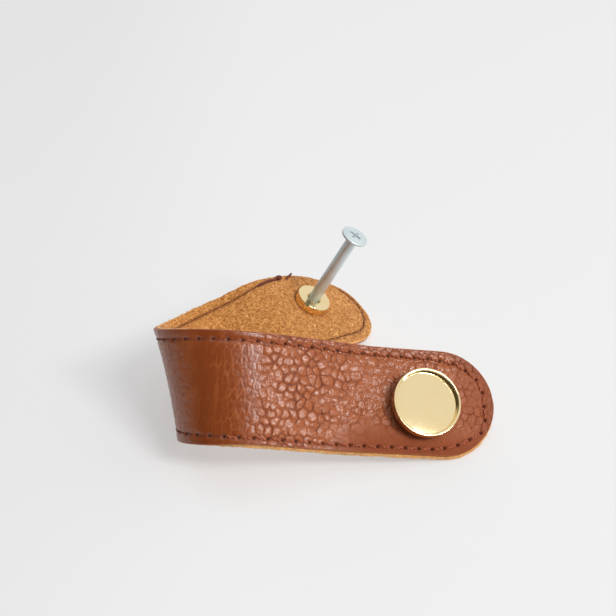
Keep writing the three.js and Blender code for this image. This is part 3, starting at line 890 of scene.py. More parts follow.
class Finish:
    """A material's node tree."""

    def __init__(self, name):
        self.material = bpy.data.materials.new(name)
        self.material.use_nodes = True
        self.nodes = self.material.node_tree.nodes
        self.links = self.material.node_tree.links
        self.shader = self.nodes["Principled BSDF"]

    def add(self, kind, settings, inputs):
        node = self.nodes.new(kind)
        for key, value in settings.items():
            if key == "stops":
                ramp = node.color_ramp.elements
                while len(ramp) < len(value):
                    ramp.new(0.5)
                for element, (position, colour) in zip(ramp, value):
                    element.position = position
                    element.color = (*colour, 1.0)
            else:
                setattr(node, key, value)
        for key, value in inputs.items():
            self.join(value, node.inputs[key])
        return node

    def join(self, value, socket):
        if isinstance(value, Socket):
            value = value.link
        if isinstance(value, bpy.types.NodeSocket):
            self.links.new(value, socket)
        elif isinstance(value, tuple) and len(value) == 3 and socket.type == "RGBA":
            socket.default_value = (*value, 1.0)
        else:
            socket.default_value = value

    def kept(self, name):
        node = self.add("ShaderNodeAttribute", {"attribute_name": name}, {})
        return Socket(self, node.outputs["Fac"])

    def kept_place(self, name):
        return self.add("ShaderNodeAttribute", {"attribute_name": name}, {}).outputs["Vector"]

    def object_place(self):
        return self.add("ShaderNodeTexCoord", {}, {}).outputs["Object"]

    def stretched_place(self, place, scale):
        node = self.add("ShaderNodeMapping", {}, {"Vector": place, "Scale": scale})
        return node.outputs["Vector"]

    def noise(self, place, scale, detail, roughness=0.55):
        node = self.add("ShaderNodeTexNoise", {}, {
            "Vector": place, "Scale": scale, "Detail": detail, "Roughness": roughness})
        return Socket(self, node.outputs[0])

    def cells(self, place, scale, feature):
        node = self.add("ShaderNodeTexVoronoi", {"feature": feature}, {"Vector": place, "Scale": scale})
        return Socket(self, node.outputs["Distance"])

    def between(self, value, low, high):
        node = self.add("ShaderNodeMapRange", {"interpolation_type": "SMOOTHSTEP"}, {
            "Value": value, "From Min": low, "From Max": high})
        return Socket(self, node.outputs["Result"])

    def colours(self, value, stops):
        return self.add("ShaderNodeValToRGB", {"stops": stops}, {0: value}).outputs["Color"]

    def blend(self, share, first, second):
        return self.add("ShaderNodeMix", {"data_type": "RGBA"}, {
            "Factor": share, 6: first, 7: second}).outputs[2]

    def coated(self, body, *coats):
        """The body colour with coats laid over it in turn, each given as a share and a colour."""
        for share, colour in coats:
            body = self.blend(share, body, colour)
        return body

    def bump(self, height, distance, strength=1.0, over=None):
        inputs = {"Height": height, "Distance": distance, "Strength": strength}
        if over is not None:
            inputs["Normal"] = over
        return self.add("ShaderNodeBump", {}, inputs).outputs["Normal"]

    def set(self, **values):
        for key, value in values.items():
            self.join(value, self.shader.inputs[key.replace("_", " ")])
        return self.material


def linear(red, green, blue):
    """A colour as it is seen on screen, in the renderer's own numbers."""
    shares = (c / 255 for c in (red, green, blue))
    return tuple(c / 12.92 if c <= 0.04045 else ((c + 0.055) / 1.055) ** 2.4 for c in shares)


def grain_finish():
    f = Finish("pebbled_leather")
    strap = f.kept_place("strap_place")
    crease = f.between(f.kept("crease"), 0.30, 1.05)
    stretch = f.kept("stretch")
    vein = f.kept("vein")
    pebble = f.kept("pebble")
    hole = f.between(f.kept("needle_hole"), 0.28, 0.78)
    seam = f.kept("seam")
    cut = f.kept("cut_edge")
    border = f.kept("border")
    rim = f.kept("rim")
    dull = f.kept("dull")
    mottle = f.noise(strap, scale=0.22, detail=4.0)
    speck = f.noise(strap, scale=2.2, detail=5.0, roughness=0.65)
    pores = f.cells(strap, 1.9, "DISTANCE_TO_EDGE")
    fibre = f.noise(strap, scale=1.6, detail=4.0)
    raw = f.colours(fibre, ((0.35, linear(168, 92, 42)), (0.7, linear(206, 130, 72))))
    body = f.coated(
        f.colours(mottle, ((0.3, linear(154, 77, 32)), (0.7, linear(168, 88, 40)))),
        (f.between(speck, 0.45, 0.75) * 0.35, linear(186, 106, 56)),
        ((pebble * 0.4).limited(), linear(176, 96, 46)),
        (stretch * 0.85, linear(130, 60, 23)),
        ((vein * 0.8).limited(), linear(176, 94, 48)),
        # Painted shade in the creases, on top of their real depth.
        (crease * 0.75, linear(104, 42, 26)),
        # Painted shade: the matte patch near the low edge and the front tip is darkened and reddened.
        (dull * 0.7, linear(138, 60, 20)),
        (border * 0.3, linear(122, 52, 22)),
        # Painted shade along the seam's groove.
        ((seam * 0.15).limited(), linear(110, 44, 18)),
        # Painted shade: a dark ring where the leather meets the knob's neck and the collar's tail.
        ((rim * 0.7).limited(), linear(60, 24, 12)),
        # Painted shade in the needle holes.
        (hole * 0.85, linear(64, 21, 10)),
        (cut, raw))
    rough = 0.19 + dull * 0.58 + crease * 0.3 + mottle * 0.06 + cut * 0.3 + hole * 0.6
    fine = f.between(pores, 0.0, 0.10) * (1 - stretch * 0.8) * 0.6 + speck * 0.5
    tilted = f.bump(dull, distance=DULL_TILT * MM)
    creased = f.bump(1 - crease, distance=0.12 * MM, strength=0.7, over=tilted)
    normal = f.bump(fine * (1 - cut) + speck * cut * 2.0, distance=0.08 * MM, strength=0.8, over=creased)
    return f.set(Base_Color=body, Roughness=rough.limited(), Normal=normal, Specular_IOR_Level=0.5)


def suede_finish():
    f = Finish("suede")
    strap = f.kept_place("strap_place")
    seam = f.kept("seam")
    cut = f.kept("cut_edge")
    hole = f.kept("needle_hole")
    rim = f.kept("rim")
    fine = f.noise(strap, scale=1.5, detail=6.0, roughness=0.8)
    tufts = f.noise(strap, scale=0.9, detail=4.0, roughness=0.6)
    cloud = f.noise(strap, scale=0.14, detail=3.0)
    fibre = f.noise(strap, scale=1.5, detail=5.0, roughness=0.7)
    body = f.coated(
        f.colours(fine, (
            (0.37, linear(112, 62, 24)), (0.5, linear(184, 120, 57)), (0.63, linear(240, 184, 116)))),
        (f.between(tufts, 0.4, 0.7) * 0.3, linear(210, 146, 80)),
        (f.between(cloud, 0.35, 0.7) * 0.3, linear(172, 108, 50)),
        # Painted shade along the seam's groove.
        ((seam * 0.45).limited(), linear(140, 80, 36)),
        # Painted shade in the needle holes.
        ((hole * 0.7).limited(), linear(96, 50, 22)),
        # Painted shade: a darker ring where the suede meets the rivet and the collar.
        ((rim * 0.5).limited(), linear(120, 66, 28)),
        (cut * 0.9, f.colours(fibre, ((0.35, linear(216, 142, 72)), (0.65, linear(250, 202, 138))))))
    normal = f.bump(fine * 0.7 + tufts * 0.5, distance=0.22 * MM, strength=0.8)
    return f.set(
        Base_Color=body, Roughness=0.95, Normal=normal, Specular_IOR_Level=0.15,
        Sheen_Weight=0.2, Sheen_Roughness=0.5)


def thread_finish(name, dark, light):
    f = Finish(name)
    where = f.object_place()
    strand = f.noise(where, scale=2600.0, detail=3.0, roughness=0.6)
    body = f.colours(strand, ((0.35, dark), (0.7, light)))
    normal = f.bump(f.noise(where, scale=5200.0, detail=2.0), distance=0.04 * MM, strength=0.6)
    return f.set(Base_Color=body, Roughness=0.62, Normal=normal, Specular_IOR_Level=0.4)


def fibre_finish():
    f = Finish("leather_fibre")
    tone = f.noise(f.object_place(), scale=900.0, detail=3.0)
    body = f.colours(tone, ((0.3, linear(190, 122, 66)), (0.7, linear(236, 190, 140))))
    return f.set(Base_Color=body, Roughness=0.85, Specular_IOR_Level=0.2)


def metal_finish(name, colour, shade, rough, spread, scratch_depth, metal):
    f = Finish(name)
    where = f.object_place()
    cloud = f.noise(where, scale=160.0, detail=4.0)
    turned = f.stretched_place(where, (1.0, 7.0, 1.0))
    scratch = f.noise(turned, scale=900.0, detail=3.0, roughness=0.7)
    body = f.blend(f.between(cloud, 0.35, 0.75) * 0.5, colour, shade)
    roughness = rough + f.between(scratch, 0.5, 0.8) * spread + cloud * (spread * 0.5)
    normal = f.bump(scratch, distance=scratch_depth * MM, strength=0.3)
    return f.set(Base_Color=body, Metallic=metal, Roughness=roughness.limited(), Normal=normal)


# Turned metal pieces.

def lathe(name, profile, sides, ride_height=None):
    """A closed shell turned about Z from (radius, height) points, given outward at the bottom and in at the
    top. Each point can ride up or down from its radius."""
    profile = np.asarray(profile, float)
    angles = np.linspace(0, 2 * math.pi, sides, endpoint=False)
    points = []
    rings = []
    for radius, height in profile:
        if radius < 1e-6:
            rings.append([len(points)])
            points.append((0.0, 0.0, height))
            continue
        rings.append(list(range(len(points), len(points) + sides)))
        for angle in angles:
            reach = radius + (ride_height(angle, height) if ride_height else 0.0)
            points.append((reach * math.cos(angle), reach * math.sin(angle), height))
    faces = []
    pairs = list(zip(rings, rings[1:]))
    if len(rings[0]) > 1 and len(rings[-1]) > 1:
        pairs.append((rings[-1], rings[0]))
    for low, high in pairs:
        for k in range(sides):
            n = (k + 1) % sides
            if len(low) == 1:
                faces.append((low[0], high[k], high[n]))
            elif len(high) == 1:
                faces.append((low[k], high[0], low[n]))
            else:
                faces.append((low[k], high[k], high[n], low[n]))
    return mesh_from(name, points, [face[::-1] for face in faces])


def bevelled(points):
    """A profile with its corners rounded by their shares of the full rounding; a corner given with 0 stays
    sharp. A point beside each end of a rounding keeps the flats flat."""
    out = []
    for i, (x, y, share) in enumerate(points):
        if i in (0, len(points) - 1) or not share:
            out.append((x, y))
            continue
        here = Vector((x, y))
        before = Vector(points[i - 1][:2]) - here
        after = Vector(points[i + 1][:2]) - here
        reach = min(ROUNDING * share, before.length / ROUNDING_LIMIT, after.length / ROUNDING_LIMIT)
        a = here + before.normalized() * reach
        b = here + after.normalized() * reach
        out.append(tuple(a + before.normalized() * reach * SUPPORT_GAP))
        for k in range(ROUNDING_STEPS + 1):
            t = k / ROUNDING_STEPS
            p = a * (1 - t) ** 2 + here * 2 * t * (1 - t) + b * t ** 2
            out.append((p.x, p.y))
        out.append(tuple(b + after.normalized() * reach * SUPPORT_GAP))
    return out


def stand_on_strap(piece, s, v, level, outward):
    """Puts a piece turned about Z, in millimetres, on the strap with its axis out of the chosen side."""
    axes = axes_at(s)[0]
    foot = place(s, v, level)[0]
    along = Vector(axes[:, 0])
    out = Vector(axes[:, 2]) * outward
    across = out.cross(along)
    turn = Matrix((along, across, out)).transposed().to_4x4()
    piece.data.transform(Matrix.Translation(Vector(foot)) @ turn @ Matrix.Scale(MM, 4))
    piece.data.update()
    return piece


def shade_metal(piece):
    """Smooth faces with sharp edges kept where the surface turns a corner."""
    shade_smooth(piece)
    piece.data.set_sharp_from_angle(angle=math.radians(SHARP_ANGLE))


def plain_mesh(piece):
    """The mesh that a piece comes to with its modifiers or its curve worked out."""
    bpy.context.view_layer.update()
    graph = bpy.context.evaluated_depsgraph_get()
    return bpy.data.meshes.new_from_object(piece.evaluated_get(graph))


def settled(piece):
    """The piece with its modifiers worked into a plain mesh."""
    mesh = plain_mesh(piece)
    piece.modifiers.clear()
    piece.data = mesh
    return piece


def cut_from(piece, cutter):
    """Takes the cutter's shape out of a piece."""
    modifier = piece.modifiers.new("cut", "BOOLEAN")
    modifier.operation = "DIFFERENCE"
    modifier.solver = "EXACT"
    modifier.object = cutter
    finished = settled(piece)
    bpy.data.objects.remove(cutter)
    return finished


def box_cutter(size, centre, turn):
    x, y, z = (a / 2 for a in size)
    corners = [(i * x, j * y, k * z) for i in (-1, 1) for j in (-1, 1) for k in (-1, 1)]
    faces = [(0, 1, 3, 2), (4, 6, 7, 5), (0, 4, 5, 1), (2, 3, 7, 6), (0, 2, 6, 4), (1, 5, 7, 3)]
    cutter = mesh_from("cutter", corners, faces)
    cutter.data.transform(Matrix.Translation(centre) @ Matrix.Rotation(turn, 4, "Z"))
    return cutter


def cross_cutter(turn):
    """One arm of the screw's cross recess, narrower at its bottom."""
    corners = []
    for height, share in (
            (SCREW_STAND_OFF - CROSS_DEPTH, CROSS_BOTTOM_SHARE),
            (SCREW_STAND_OFF + CROSS_OVERSHOOT, CROSS_TOP_SHARE)):
        half_length = CROSS_LENGTH / 2 * share
        half_width = CROSS_WIDTH / 2 * (1 - CROSS_WIDTH_TAPER + CROSS_WIDTH_TAPER * share)
        for i, j in ((-1, -1), (1, -1), (1, 1), (-1, 1)):
            corners.append((i * half_length, j * half_width, height))
    faces = [(3, 2, 1, 0), (4, 5, 6, 7), (0, 1, 5, 4), (1, 2, 6, 5), (2, 3, 7, 6), (3, 0, 4, 7)]
    cutter = mesh_from("cutter", corners, faces)
    cutter.data.transform(Matrix.Rotation(turn, 4, "Z"))
    return cutter


def make_knob():
    back = -STRAP_THICKNESS
    profile = bevelled([
        (0.0, back - RIVET_THICKNESS, 0),
        (RIVET_RADIUS, back - RIVET_THICKNESS * 0.75, 1),
        (RIVET_RADIUS, back - FIT_GAP, 1),
        (KNOB_POST_RADIUS, back - FIT_GAP, 0),
        (KNOB_POST_RADIUS, FIT_GAP, 0),
        (KNOB_NECK_RADIUS, FIT_GAP, 1),
        (KNOB_NECK_RADIUS, KNOB_UNDERSIDE, 1),
        (KNOB_RADIUS, KNOB_UNDERSIDE, 1),
        (KNOB_RADIUS, KNOB_HEIGHT, 0.4),
        (KNOB_DISH_RADIUS, KNOB_HEIGHT, 1.1),
        (KNOB_DISH_FLOOR_RADIUS, KNOB_HEIGHT - KNOB_DISH_DEPTH, 0.12),
        (0.0, KNOB_HEIGHT - KNOB_DISH_DEPTH, 0),
    ])
    knob = lathe("brass_knob", profile, sides=160)
    shade_metal(knob)
    return stand_on_strap(knob, KNOB_ALONG, KNOB_ACROSS, GRAIN_LEVEL, 1)


def make_collar():
    tail = -STRAP_THICKNESS - TAIL_PROUD
    bore = SCREW_RADIUS + BORE_GAP
    profile = bevelled([
        (bore, tail, 0),
        (COLLAR_TAIL_RADIUS, tail, 0.6),
        (COLLAR_TAIL_RADIUS, tail + COLLAR_TAIL_THICKNESS, 0.5),
        (COLLAR_BARREL_RADIUS, tail + COLLAR_TAIL_THICKNESS, 0),
        (COLLAR_BARREL_RADIUS, FIT_GAP, 0),
        (COLLAR_RADIUS, FIT_GAP, 0.6),
        (COLLAR_RADIUS, COLLAR_HEIGHT, 1),
        (COLLAR_MOUTH_RADIUS, COLLAR_HEIGHT, 0.4),
        (bore, COLLAR_HEIGHT - COLLAR_MOUTH_DEPTH, 0),
    ])
    collar = lathe("brass_collar", profile, sides=128)
    slot = box_cutter(
        (3 * COLLAR_RADIUS, COLLAR_SLOT_WIDTH, 2 * COLLAR_SLOT_DEPTH), (0, 0, COLLAR_HEIGHT),
        math.radians(COLLAR_SLOT_TURN))
    collar = cut_from(collar, slot)
    shade_metal(collar)
    return stand_on_strap(collar, COLLAR_ALONG, COLLAR_ACROSS, SUEDE_LEVEL, -1)


def make_screw():
    tip = -STRAP_THICKNESS + SCREW_TIP_SUNK
    neck = SCREW_STAND_OFF - SCREW_HEAD_HEIGHT
    rim_top = SCREW_STAND_OFF - SCREW_HEAD_DOME
    threaded_to = COLLAR_HEIGHT - SCREW_THREAD_STOP

    def thread(angle, height):
        if height > threaded_to or height < tip + SCREW_TIP_LENGTH:
            return 0.0
        phase = height / SCREW_PITCH - angle / (2 * math.pi)
        fade = min(1.0, (threaded_to - height) / SCREW_PITCH)
        return -SCREW_THREAD_DEPTH * fade * (0.5 - 0.5 * math.cos(2 * math.pi * phase))

    face_inset, edge_inset = SCREW_TIP_INSETS
    heights = np.arange(tip + SCREW_THREAD_START, threaded_to, SCREW_PITCH / SCREW_RINGS_A_TURN)
    shank = [(SCREW_RADIUS, height) for height in heights]
    point = [
        (0.0, tip), (SCREW_RADIUS - face_inset, tip), (SCREW_RADIUS - edge_inset, tip + SCREW_TIP_LENGTH)]
    head = bevelled([
        (SCREW_RADIUS, threaded_to + SCREW_PLAIN_START, 0),
        (SCREW_RADIUS, neck, 1),
        (SCREW_HEAD_RADIUS, rim_top - SCREW_HEAD_RIM, 0.7),
        (SCREW_HEAD_RADIUS, rim_top, 1),
        (SCREW_HEAD_FLAT_RADIUS, SCREW_STAND_OFF, 1),
        (0.0, SCREW_STAND_OFF, 0),
    ])
    screw = lathe("zinc_screw", point + shank + head, sides=64, ride_height=thread)
    for turn in (0.0, math.pi / 2):
        screw = cut_from(screw, cross_cutter(turn + CROSS_TURN))
    shade_metal(screw)
    return stand_on_strap(screw, COLLAR_ALONG, COLLAR_ACROSS, SUEDE_LEVEL, -1)


# Stitches and fibres, laid by geometry nodes.

class Pattern:
    """A geometry tree with named inputs."""

    def __init__(self, name, sizes):
        self.tree = bpy.data.node_groups.new(name, "GeometryNodeTree")
        face = self.tree.interface
        face.new_socket(name="Geometry", in_out="OUTPUT", socket_type="NodeSocketGeometry")
        face.new_socket(name="Geometry", in_out="INPUT", socket_type="NodeSocketGeometry")
        for label, kind in sizes:
            face.new_socket(name=label, in_out="INPUT", socket_type=kind)
        self.start = self.tree.nodes.new("NodeGroupInput")
        self.end = self.tree.nodes.new("NodeGroupOutput")

    def add(self, kind, settings, inputs):
        node = self.tree.nodes.new(kind)
        for key, value in settings.items():
            setattr(node, key, value)
        for key, value in inputs.items():
            self.join(value, node.inputs[key])
        return node

    def join(self, value, socket):
        if isinstance(value, Socket):
            value = value.link
        if isinstance(value, bpy.types.NodeSocket):
            self.tree.links.new(value, socket)
        else:
            socket.default_value = value

    def size(self, label):
        return Socket(self, self.start.outputs[label])

    def kept(self, name, kind):
        return self.add("GeometryNodeInputNamedAttribute", {"data_type": kind}, {"Name": name}).outputs[0]

    def spot(self, x, y, z):
        return self.add("ShaderNodeCombineXYZ", {}, {0: x, 1: y, 2: z}).outputs[0]

    def wave(self, operation, angle):
        return Socket(self, self.add("ShaderNodeMath", {"operation": operation}, {0: angle}).outputs[0])

    def finish(self, geometry, finish):
        whole = self.add("GeometryNodeRealizeInstances", {}, {0: geometry}).outputs[0]
        whole = self.add("GeometryNodeSetMaterial", {}, {0: whole, "Material": finish}).outputs[0]
        self.join(whole, self.end.inputs[0])


def laid(name, base, pattern, values):
    """The base with the pattern worked over it, as a plain mesh."""
    modifier = base.modifiers.new("pattern", "NODES")
    modifier.node_group = pattern.tree
    for item in pattern.tree.interface.items_tree:
        if item.in_out == "INPUT" and item.name in values:
            modifier[item.identifier] = values[item.name]
    piece = settled(base)
    piece.name = name
    shade_smooth(piece)
    return piece


def stitch_pattern():
    """Two twisted plies from one needle hole to the next, on each point, turned as the point says."""
    p = Pattern("stitches", (
        ("Length", "NodeSocketFloat"), ("Ply Radius", "NodeSocketFloat"), ("Arch", "NodeSocketFloat"),
        ("Turns", "NodeSocketFloat"), ("Finish", "NodeSocketMaterial")))
    length = p.size("Length")
    radius = p.size("Ply Radius")
    line = p.add("GeometryNodeCurvePrimitiveLine", {}, {
        "Start": p.spot(length * -0.5, 0.0, 0.0), "End": p.spot(length * 0.5, 0.0, 0.0)}).outputs[0]
    line = p.add("GeometryNodeResampleCurve", {}, {0: line, "Count": 9}).outputs[0]
    share = Socket(p, p.add("GeometryNodeSplineParameter", {}, {}).outputs["Factor"])
    round_it = p.add("GeometryNodeCurvePrimitiveCircle", {}, {"Resolution": 5, "Radius": radius}).outputs[0]
    plies = []
    for phase in (0.0, math.pi):
        angle = share * p.size("Turns") * (2 * math.pi) + phase
        across = p.wave("COSINE", angle) * radius * PLY_SPREAD
        arch = 4.0 * share * (1 - share)
        lift = p.wave("SINE", angle) * radius * PLY_SPREAD + (arch ** 0.6) * p.size("Arch")
        offset = p.spot(0.0, across, lift)
        moved = p.add("GeometryNodeSetPosition", {}, {0: line, "Offset": offset}).outputs[0]
        ply = p.add("GeometryNodeCurveToMesh", {}, {0: moved, 1: round_it, "Fill Caps": True})
        plies.append(ply.outputs[0])
    both = p.add("GeometryNodeJoinGeometry", {}, {})
    for ply in plies:
        p.join(ply, both.inputs[0])
    turn = p.kept("turn", "FLOAT_VECTOR")
    reach = p.kept("reach", "FLOAT")
    spots = p.add("GeometryNodeInstanceOnPoints", {}, {
        "Points": p.start.outputs["Geometry"], "Instance": both.outputs[0],
        "Rotation": p.add("FunctionNodeEulerToRotation", {}, {0: turn}).outputs[0],
        "Scale": p.spot(reach, 1.0, 1.0)}).outputs[0]
    p.finish(spots, p.start.outputs["Finish"])
    return p


def stitches(name, finish, pattern, chosen, level, outward, slant, arch, width):
    """One row of stitches round the strap, hole to hole, on one side of it. On the low side they lean the
    other way near the knob."""
    start = HOLE_POINTS[chosen]
    stop = np.roll(HOLE_POINTS, -1, axis=0)[chosen]
    middle = (start + stop) / 2
    way = stop - start
    length = np.linalg.norm(way, axis=1)
    way = way / length[:, None]
    side = np.stack([-way[:, 1], way[:, 0]], -1)
    side = side * np.where((middle[:, 0] > SLANT_TURNS) & (middle[:, 1] < 0), -1, 1)[:, None]
    head = start + way * STITCH_GAP + side * slant
    tail = stop - way * STITCH_GAP - side * slant
    a = place(head[:, 0], head[:, 1], level)
    b = place(tail[:, 0], tail[:, 1], level)
    c = place(middle[:, 0], middle[:, 1], level)
    out = axes_at(middle[:, 0])[:, :, 2] * outward
    turns = []
    for along, up in zip(b - a, out):
        x = Vector(along).normalized()
        z = (Vector(up) - x * Vector(up).dot(x)).normalized()
        turns.append(tuple(Matrix((x, z.cross(x), z)).transposed().to_euler()))
    span = np.linalg.norm(b - a, axis=1)
    base = mesh_from(name, (a + b) / 2 * (1 - STITCH_ON_SURFACE) + c * STITCH_ON_SURFACE, [])
    store(base, "turn", np.array(turns))
    store(base, "reach", span / (STITCH_PITCH * MM))
    return laid(name, base, pattern, {
        "Length": STITCH_PITCH * MM, "Ply Radius": width * PLY_SHARE * MM, "Arch": arch * MM,
        "Turns": PLY_TURNS, "Finish": finish})


def fibre_pattern():
    """Short bent fibres that stand out of a strip of cut leather."""
    p = Pattern("fibres", (
        ("Density", "NodeSocketFloat"), ("Length", "NodeSocketFloat"), ("Thickness", "NodeSocketFloat"),
        ("Seed", "NodeSocketInt"), ("Finish", "NodeSocketMaterial")))
    length = p.size("Length")
    bend = p.add("GeometryNodeCurvePrimitiveBezierSegment", {}, {
        "Resolution": 3, "Start": (0.0, 0.0, 0.0), "Start Handle": p.spot(0.0, 0.0, length * 0.5),
        "End Handle": p.spot(length * 0.2, 0.0, length * 0.8),
        "End": p.spot(length * 0.6, 0.0, length * 0.9)}).outputs[0]
    round_it = p.add("GeometryNodeCurvePrimitiveCircle", {}, {
        "Resolution": 3, "Radius": p.size("Thickness") * 0.5}).outputs[0]
    fibre = p.add("GeometryNodeCurveToMesh", {}, {0: bend, 1: round_it}).outputs[0]
    spread = p.add("GeometryNodeDistributePointsOnFaces", {"distribute_method": "RANDOM"}, {
        "Mesh": p.start.outputs["Geometry"], "Density": p.start.outputs["Density"],
        "Seed": p.start.outputs["Seed"]})
    spin = p.add("FunctionNodeRandomValue", {"data_type": "FLOAT_VECTOR"}, {
        "Min": (-FIBRE_TILT, -FIBRE_TILT, 0.0), "Max": (FIBRE_TILT, FIBRE_TILT, 6.28),
        "Seed": p.start.outputs["Seed"]}).outputs[0]
    turn = p.add("FunctionNodeRotateRotation", {"rotation_space": "LOCAL"}, {
        0: spread.outputs["Rotation"],
        1: p.add("FunctionNodeEulerToRotation", {}, {0: spin}).outputs[0]}).outputs[0]
    grow = p.add("FunctionNodeRandomValue", {"data_type": "FLOAT"}, {
        2: FIBRE_SHORTEST, 3: 1.0, "Seed": p.start.outputs["Seed"]}).outputs[1]
    spots = p.add("GeometryNodeInstanceOnPoints", {}, {
        "Points": spread.outputs["Points"], "Instance": fibre, "Rotation": turn, "Scale": grow}).outputs[0]
    p.finish(spots, p.start.outputs["Finish"])
    return p


def cut_edge_strip():
    """A narrow band over the lining's cut edge, all round, for the fibres to stand on."""
    rim = spaced(edge_line(FIBRE_STRIP_STEP), FIBRE_STRIP_STEP)
    points = np.concatenate([
        place(rim[:, 0], rim[:, 1], SUEDE_LEVEL + FIBRE_STRIP_INSIDE_SUEDE),
        place(rim[:, 0], rim[:, 1], GLUE_LEVEL + FIBRE_STRIP_PAST_GLUE),
    ])
    count = len(rim)
    faces = [(i, i + 1, count + i + 1, count + i) for i in range(count - 1)]
    return mesh_from("edge_fibres", points, faces)


def edge_fibres(finish):
    return laid("edge_fibres", cut_edge_strip(), fibre_pattern(), {
        "Density": FIBRE_DENSITY, "Length": FIBRE_LENGTH * MM, "Thickness": FIBRE_THICKNESS * MM,
        "Seed": FIBRE_SEED, "Finish": finish})


def thread_end(name, route, thickness, finish):
    """A loose end of thread along (s, v, w) points, with w from the suede's level."""
    curve = bpy.data.curves.new(name, "CURVE")
    curve.dimensions = "3D"
    curve.bevel_depth = thickness / 2 * MM
    curve.bevel_resolution = 2
    curve.use_fill_caps = True
    spline = curve.splines.new("NURBS")
    spline.points.add(len(route) - 1)
    for point, (s, v, w) in zip(spline.points, route):
        point.co = (*place(s, v, SUEDE_LEVEL + w)[0], 1.0)
    spline.use_endpoint_u = True
    spline.order_u = 3
    spline.resolution_u = 6
    holder = added(name, curve)
    mesh = plain_mesh(holder)
    bpy.data.objects.remove(holder)
    piece = added(name, mesh)
    mesh.materials.clear()
    mesh.materials.append(finish)
    shade_smooth(piece)
    return piece


# Making the pull.

def dress(piece, finish, slot, *nodes):
    """Gives a piece its finish, unless it has one, and its body, and hides the solids it stands for. The
    slot is not used.
    """
    if finish is not None:
        piece.data.materials.clear()
        piece.data.materials.append(finish)
    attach(piece, "root")
    if nodes:
        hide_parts(*nodes)


brass = metal_finish(
    "polished_brass", linear(244, 222, 173), linear(240, 214, 160),
    rough=0.025, spread=0.015, scratch_depth=0.0004, metal=1.0)
zinc = metal_finish(
    "zinc_plate", linear(214, 224, 226), linear(188, 202, 204),
    rough=0.40, spread=0.10, scratch_depth=0.004, metal=0.72)
outer_thread = thread_finish("red_thread", linear(122, 48, 25), linear(206, 116, 76))
sunk_thread = thread_finish("worn_thread", linear(120, 56, 27), linear(144, 72, 37))
inner_thread = thread_finish("brown_thread", linear(94, 48, 20), linear(146, 86, 42))
end_thread = thread_finish("dark_thread", linear(76, 28, 15), linear(132, 60, 36))
pattern = stitch_pattern()

dress(grain_layer(), grain_finish(), "grain_leather", "strap_face")
dress(suede_layer(), suede_finish(), "suede_leather", "strap_lining")
sunk = (HOLE_POINTS[:, 0] > SUNK_THREAD[0]) & (HOLE_POINTS[:, 0] < SUNK_THREAD[1])
shown_inside = seam_hidden(HOLE_POINTS[:, 0], HOLE_POINTS[:, 1]) < 0.5
dress(stitches("outer_stitches", outer_thread, pattern, ~sunk, **OUTER_ROW),
      None, "red_thread", "stitching_outside")
dress(stitches("sunk_stitches", sunk_thread, pattern, sunk, **SUNK_ROW),
      None, "red_thread")
dress(stitches("inner_stitches", inner_thread, pattern, shown_inside, **INNER_ROW),
      None, "red_thread", "stitching_inside")
dress(make_knob(), brass, "polished_brass", "knob")
dress(make_collar(), brass, "polished_brass", "collar")
dress(make_screw(), zinc, "zinc_steel", "screw")
dress(edge_fibres(fibre_finish()), None, "suede_leather")
for name, (thickness, route) in THREAD_ENDS.items():
    dress(thread_end(name, route, thickness, end_thread), None, "red_thread")


# Table, light and camera.

def table_finish():
    f = Finish("white_table")
    # Painted shade: the table's colour and glow darken towards the left.
    across = f.between(f.add("ShaderNodeSeparateXYZ", {}, {0: f.object_place()}).outputs["X"], *TABLE_RAMP)
    body, glow = (
        f.colours(across, ((0.0, (left,) * 3), (1.0, (right,) * 3)))
        for left, right in (TABLE_COLOURS, TABLE_GLOWS))
    return f.set(
        Base_Color=body, Roughness=0.8, Specular_IOR_Level=0.0, Emission_Color=glow, Emission_Strength=1.0)


def lay_table():
    half = TABLE_REACH
    corners = [(-half, -half, 0), (half, -half, 0), (half, half, 0), (-half, half, 0)]
    table = mesh_from("table", corners, [(0, 1, 2, 3)])
    table.data.materials.append(table_finish())


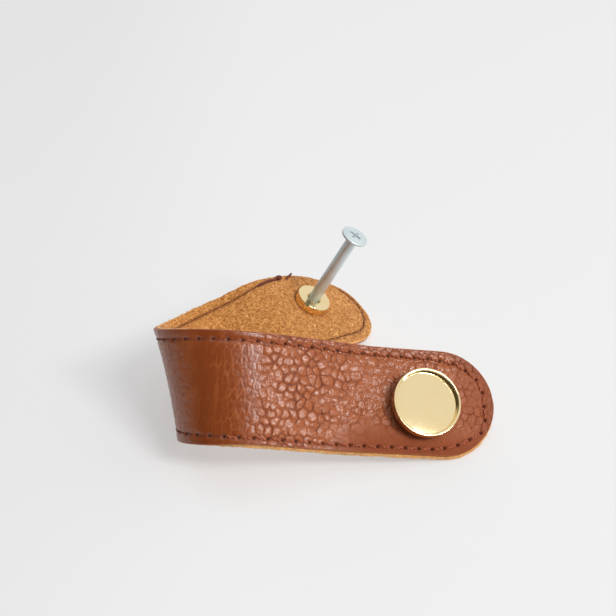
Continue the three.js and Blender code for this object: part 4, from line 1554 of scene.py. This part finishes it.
def light_room():
    """A room that is bright behind and above, and dark on the camera's side."""
    world = bpy.data.worlds.new("studio")
    bpy.context.scene.world = world
    world.use_nodes = True
    nodes = world.node_tree.nodes
    links = world.node_tree.links
    background = nodes["Background"]
    background.inputs["Color"].default_value = (1.0, 1.0, 1.0, 1.0)
    where = nodes.new("ShaderNodeTexCoord")
    facing = nodes.new("ShaderNodeVectorMath")
    facing.operation = "DOT_PRODUCT"
    facing.inputs[1].default_value = BRIGHT_SIDE
    links.new(where.outputs["Generated"], facing.inputs[0])
    level = nodes.new("ShaderNodeMapRange")
    level.interpolation_type = "SMOOTHSTEP"
    ends = zip(("From Min", "From Max", "To Min", "To Max"), (*ROOM_RAMP, ROOM_DARK, ROOM_BRIGHT))
    for name, value in ends:
        level.inputs[name].default_value = value
    links.new(facing.outputs["Value"], level.inputs["Value"])
    links.new(level.outputs["Result"], background.inputs["Strength"])


def softbox(name, azimuth, elevation, width, watts):
    lamp = bpy.data.lights.new(name, "AREA")
    lamp.shape = "DISK"
    lamp.size = width
    lamp.energy = watts
    holder = added(name, lamp)
    a = math.radians(azimuth)
    e = math.radians(elevation)
    away = Vector((math.cos(a) * math.cos(e), math.sin(a) * math.cos(e), math.sin(e)))
    holder.location = away * LAMP_DISTANCE
    holder.rotation_euler = away.to_track_quat("Z", "Y").to_euler()


def set_camera():
    camera = bpy.data.cameras.new("camera")
    camera.lens = camera.sensor_width * FOCAL_IN_WIDTHS
    camera.clip_start = 0.01
    camera.clip_end = 20
    holder = added("camera", camera)
    forward = Vector(CAMERA_FORWARD).normalized()
    up = Vector(CAMERA_UP)
    right = forward.cross(up).normalized()
    up = right.cross(forward)
    turn = Matrix((right, up, -forward)).transposed().to_4x4()
    holder.matrix_world = Matrix.Translation(CAMERA_PLACE) @ turn
    bpy.context.scene.camera = holder


lay_table()
light_room()
softbox("window", azimuth=-42.35, elevation=48.3, width=0.79, watts=21.5)
softbox("low_window", azimuth=-34, elevation=38, width=0.46, watts=15.5)
set_camera()
bpy.context.scene.view_settings.view_transform = "Standard"
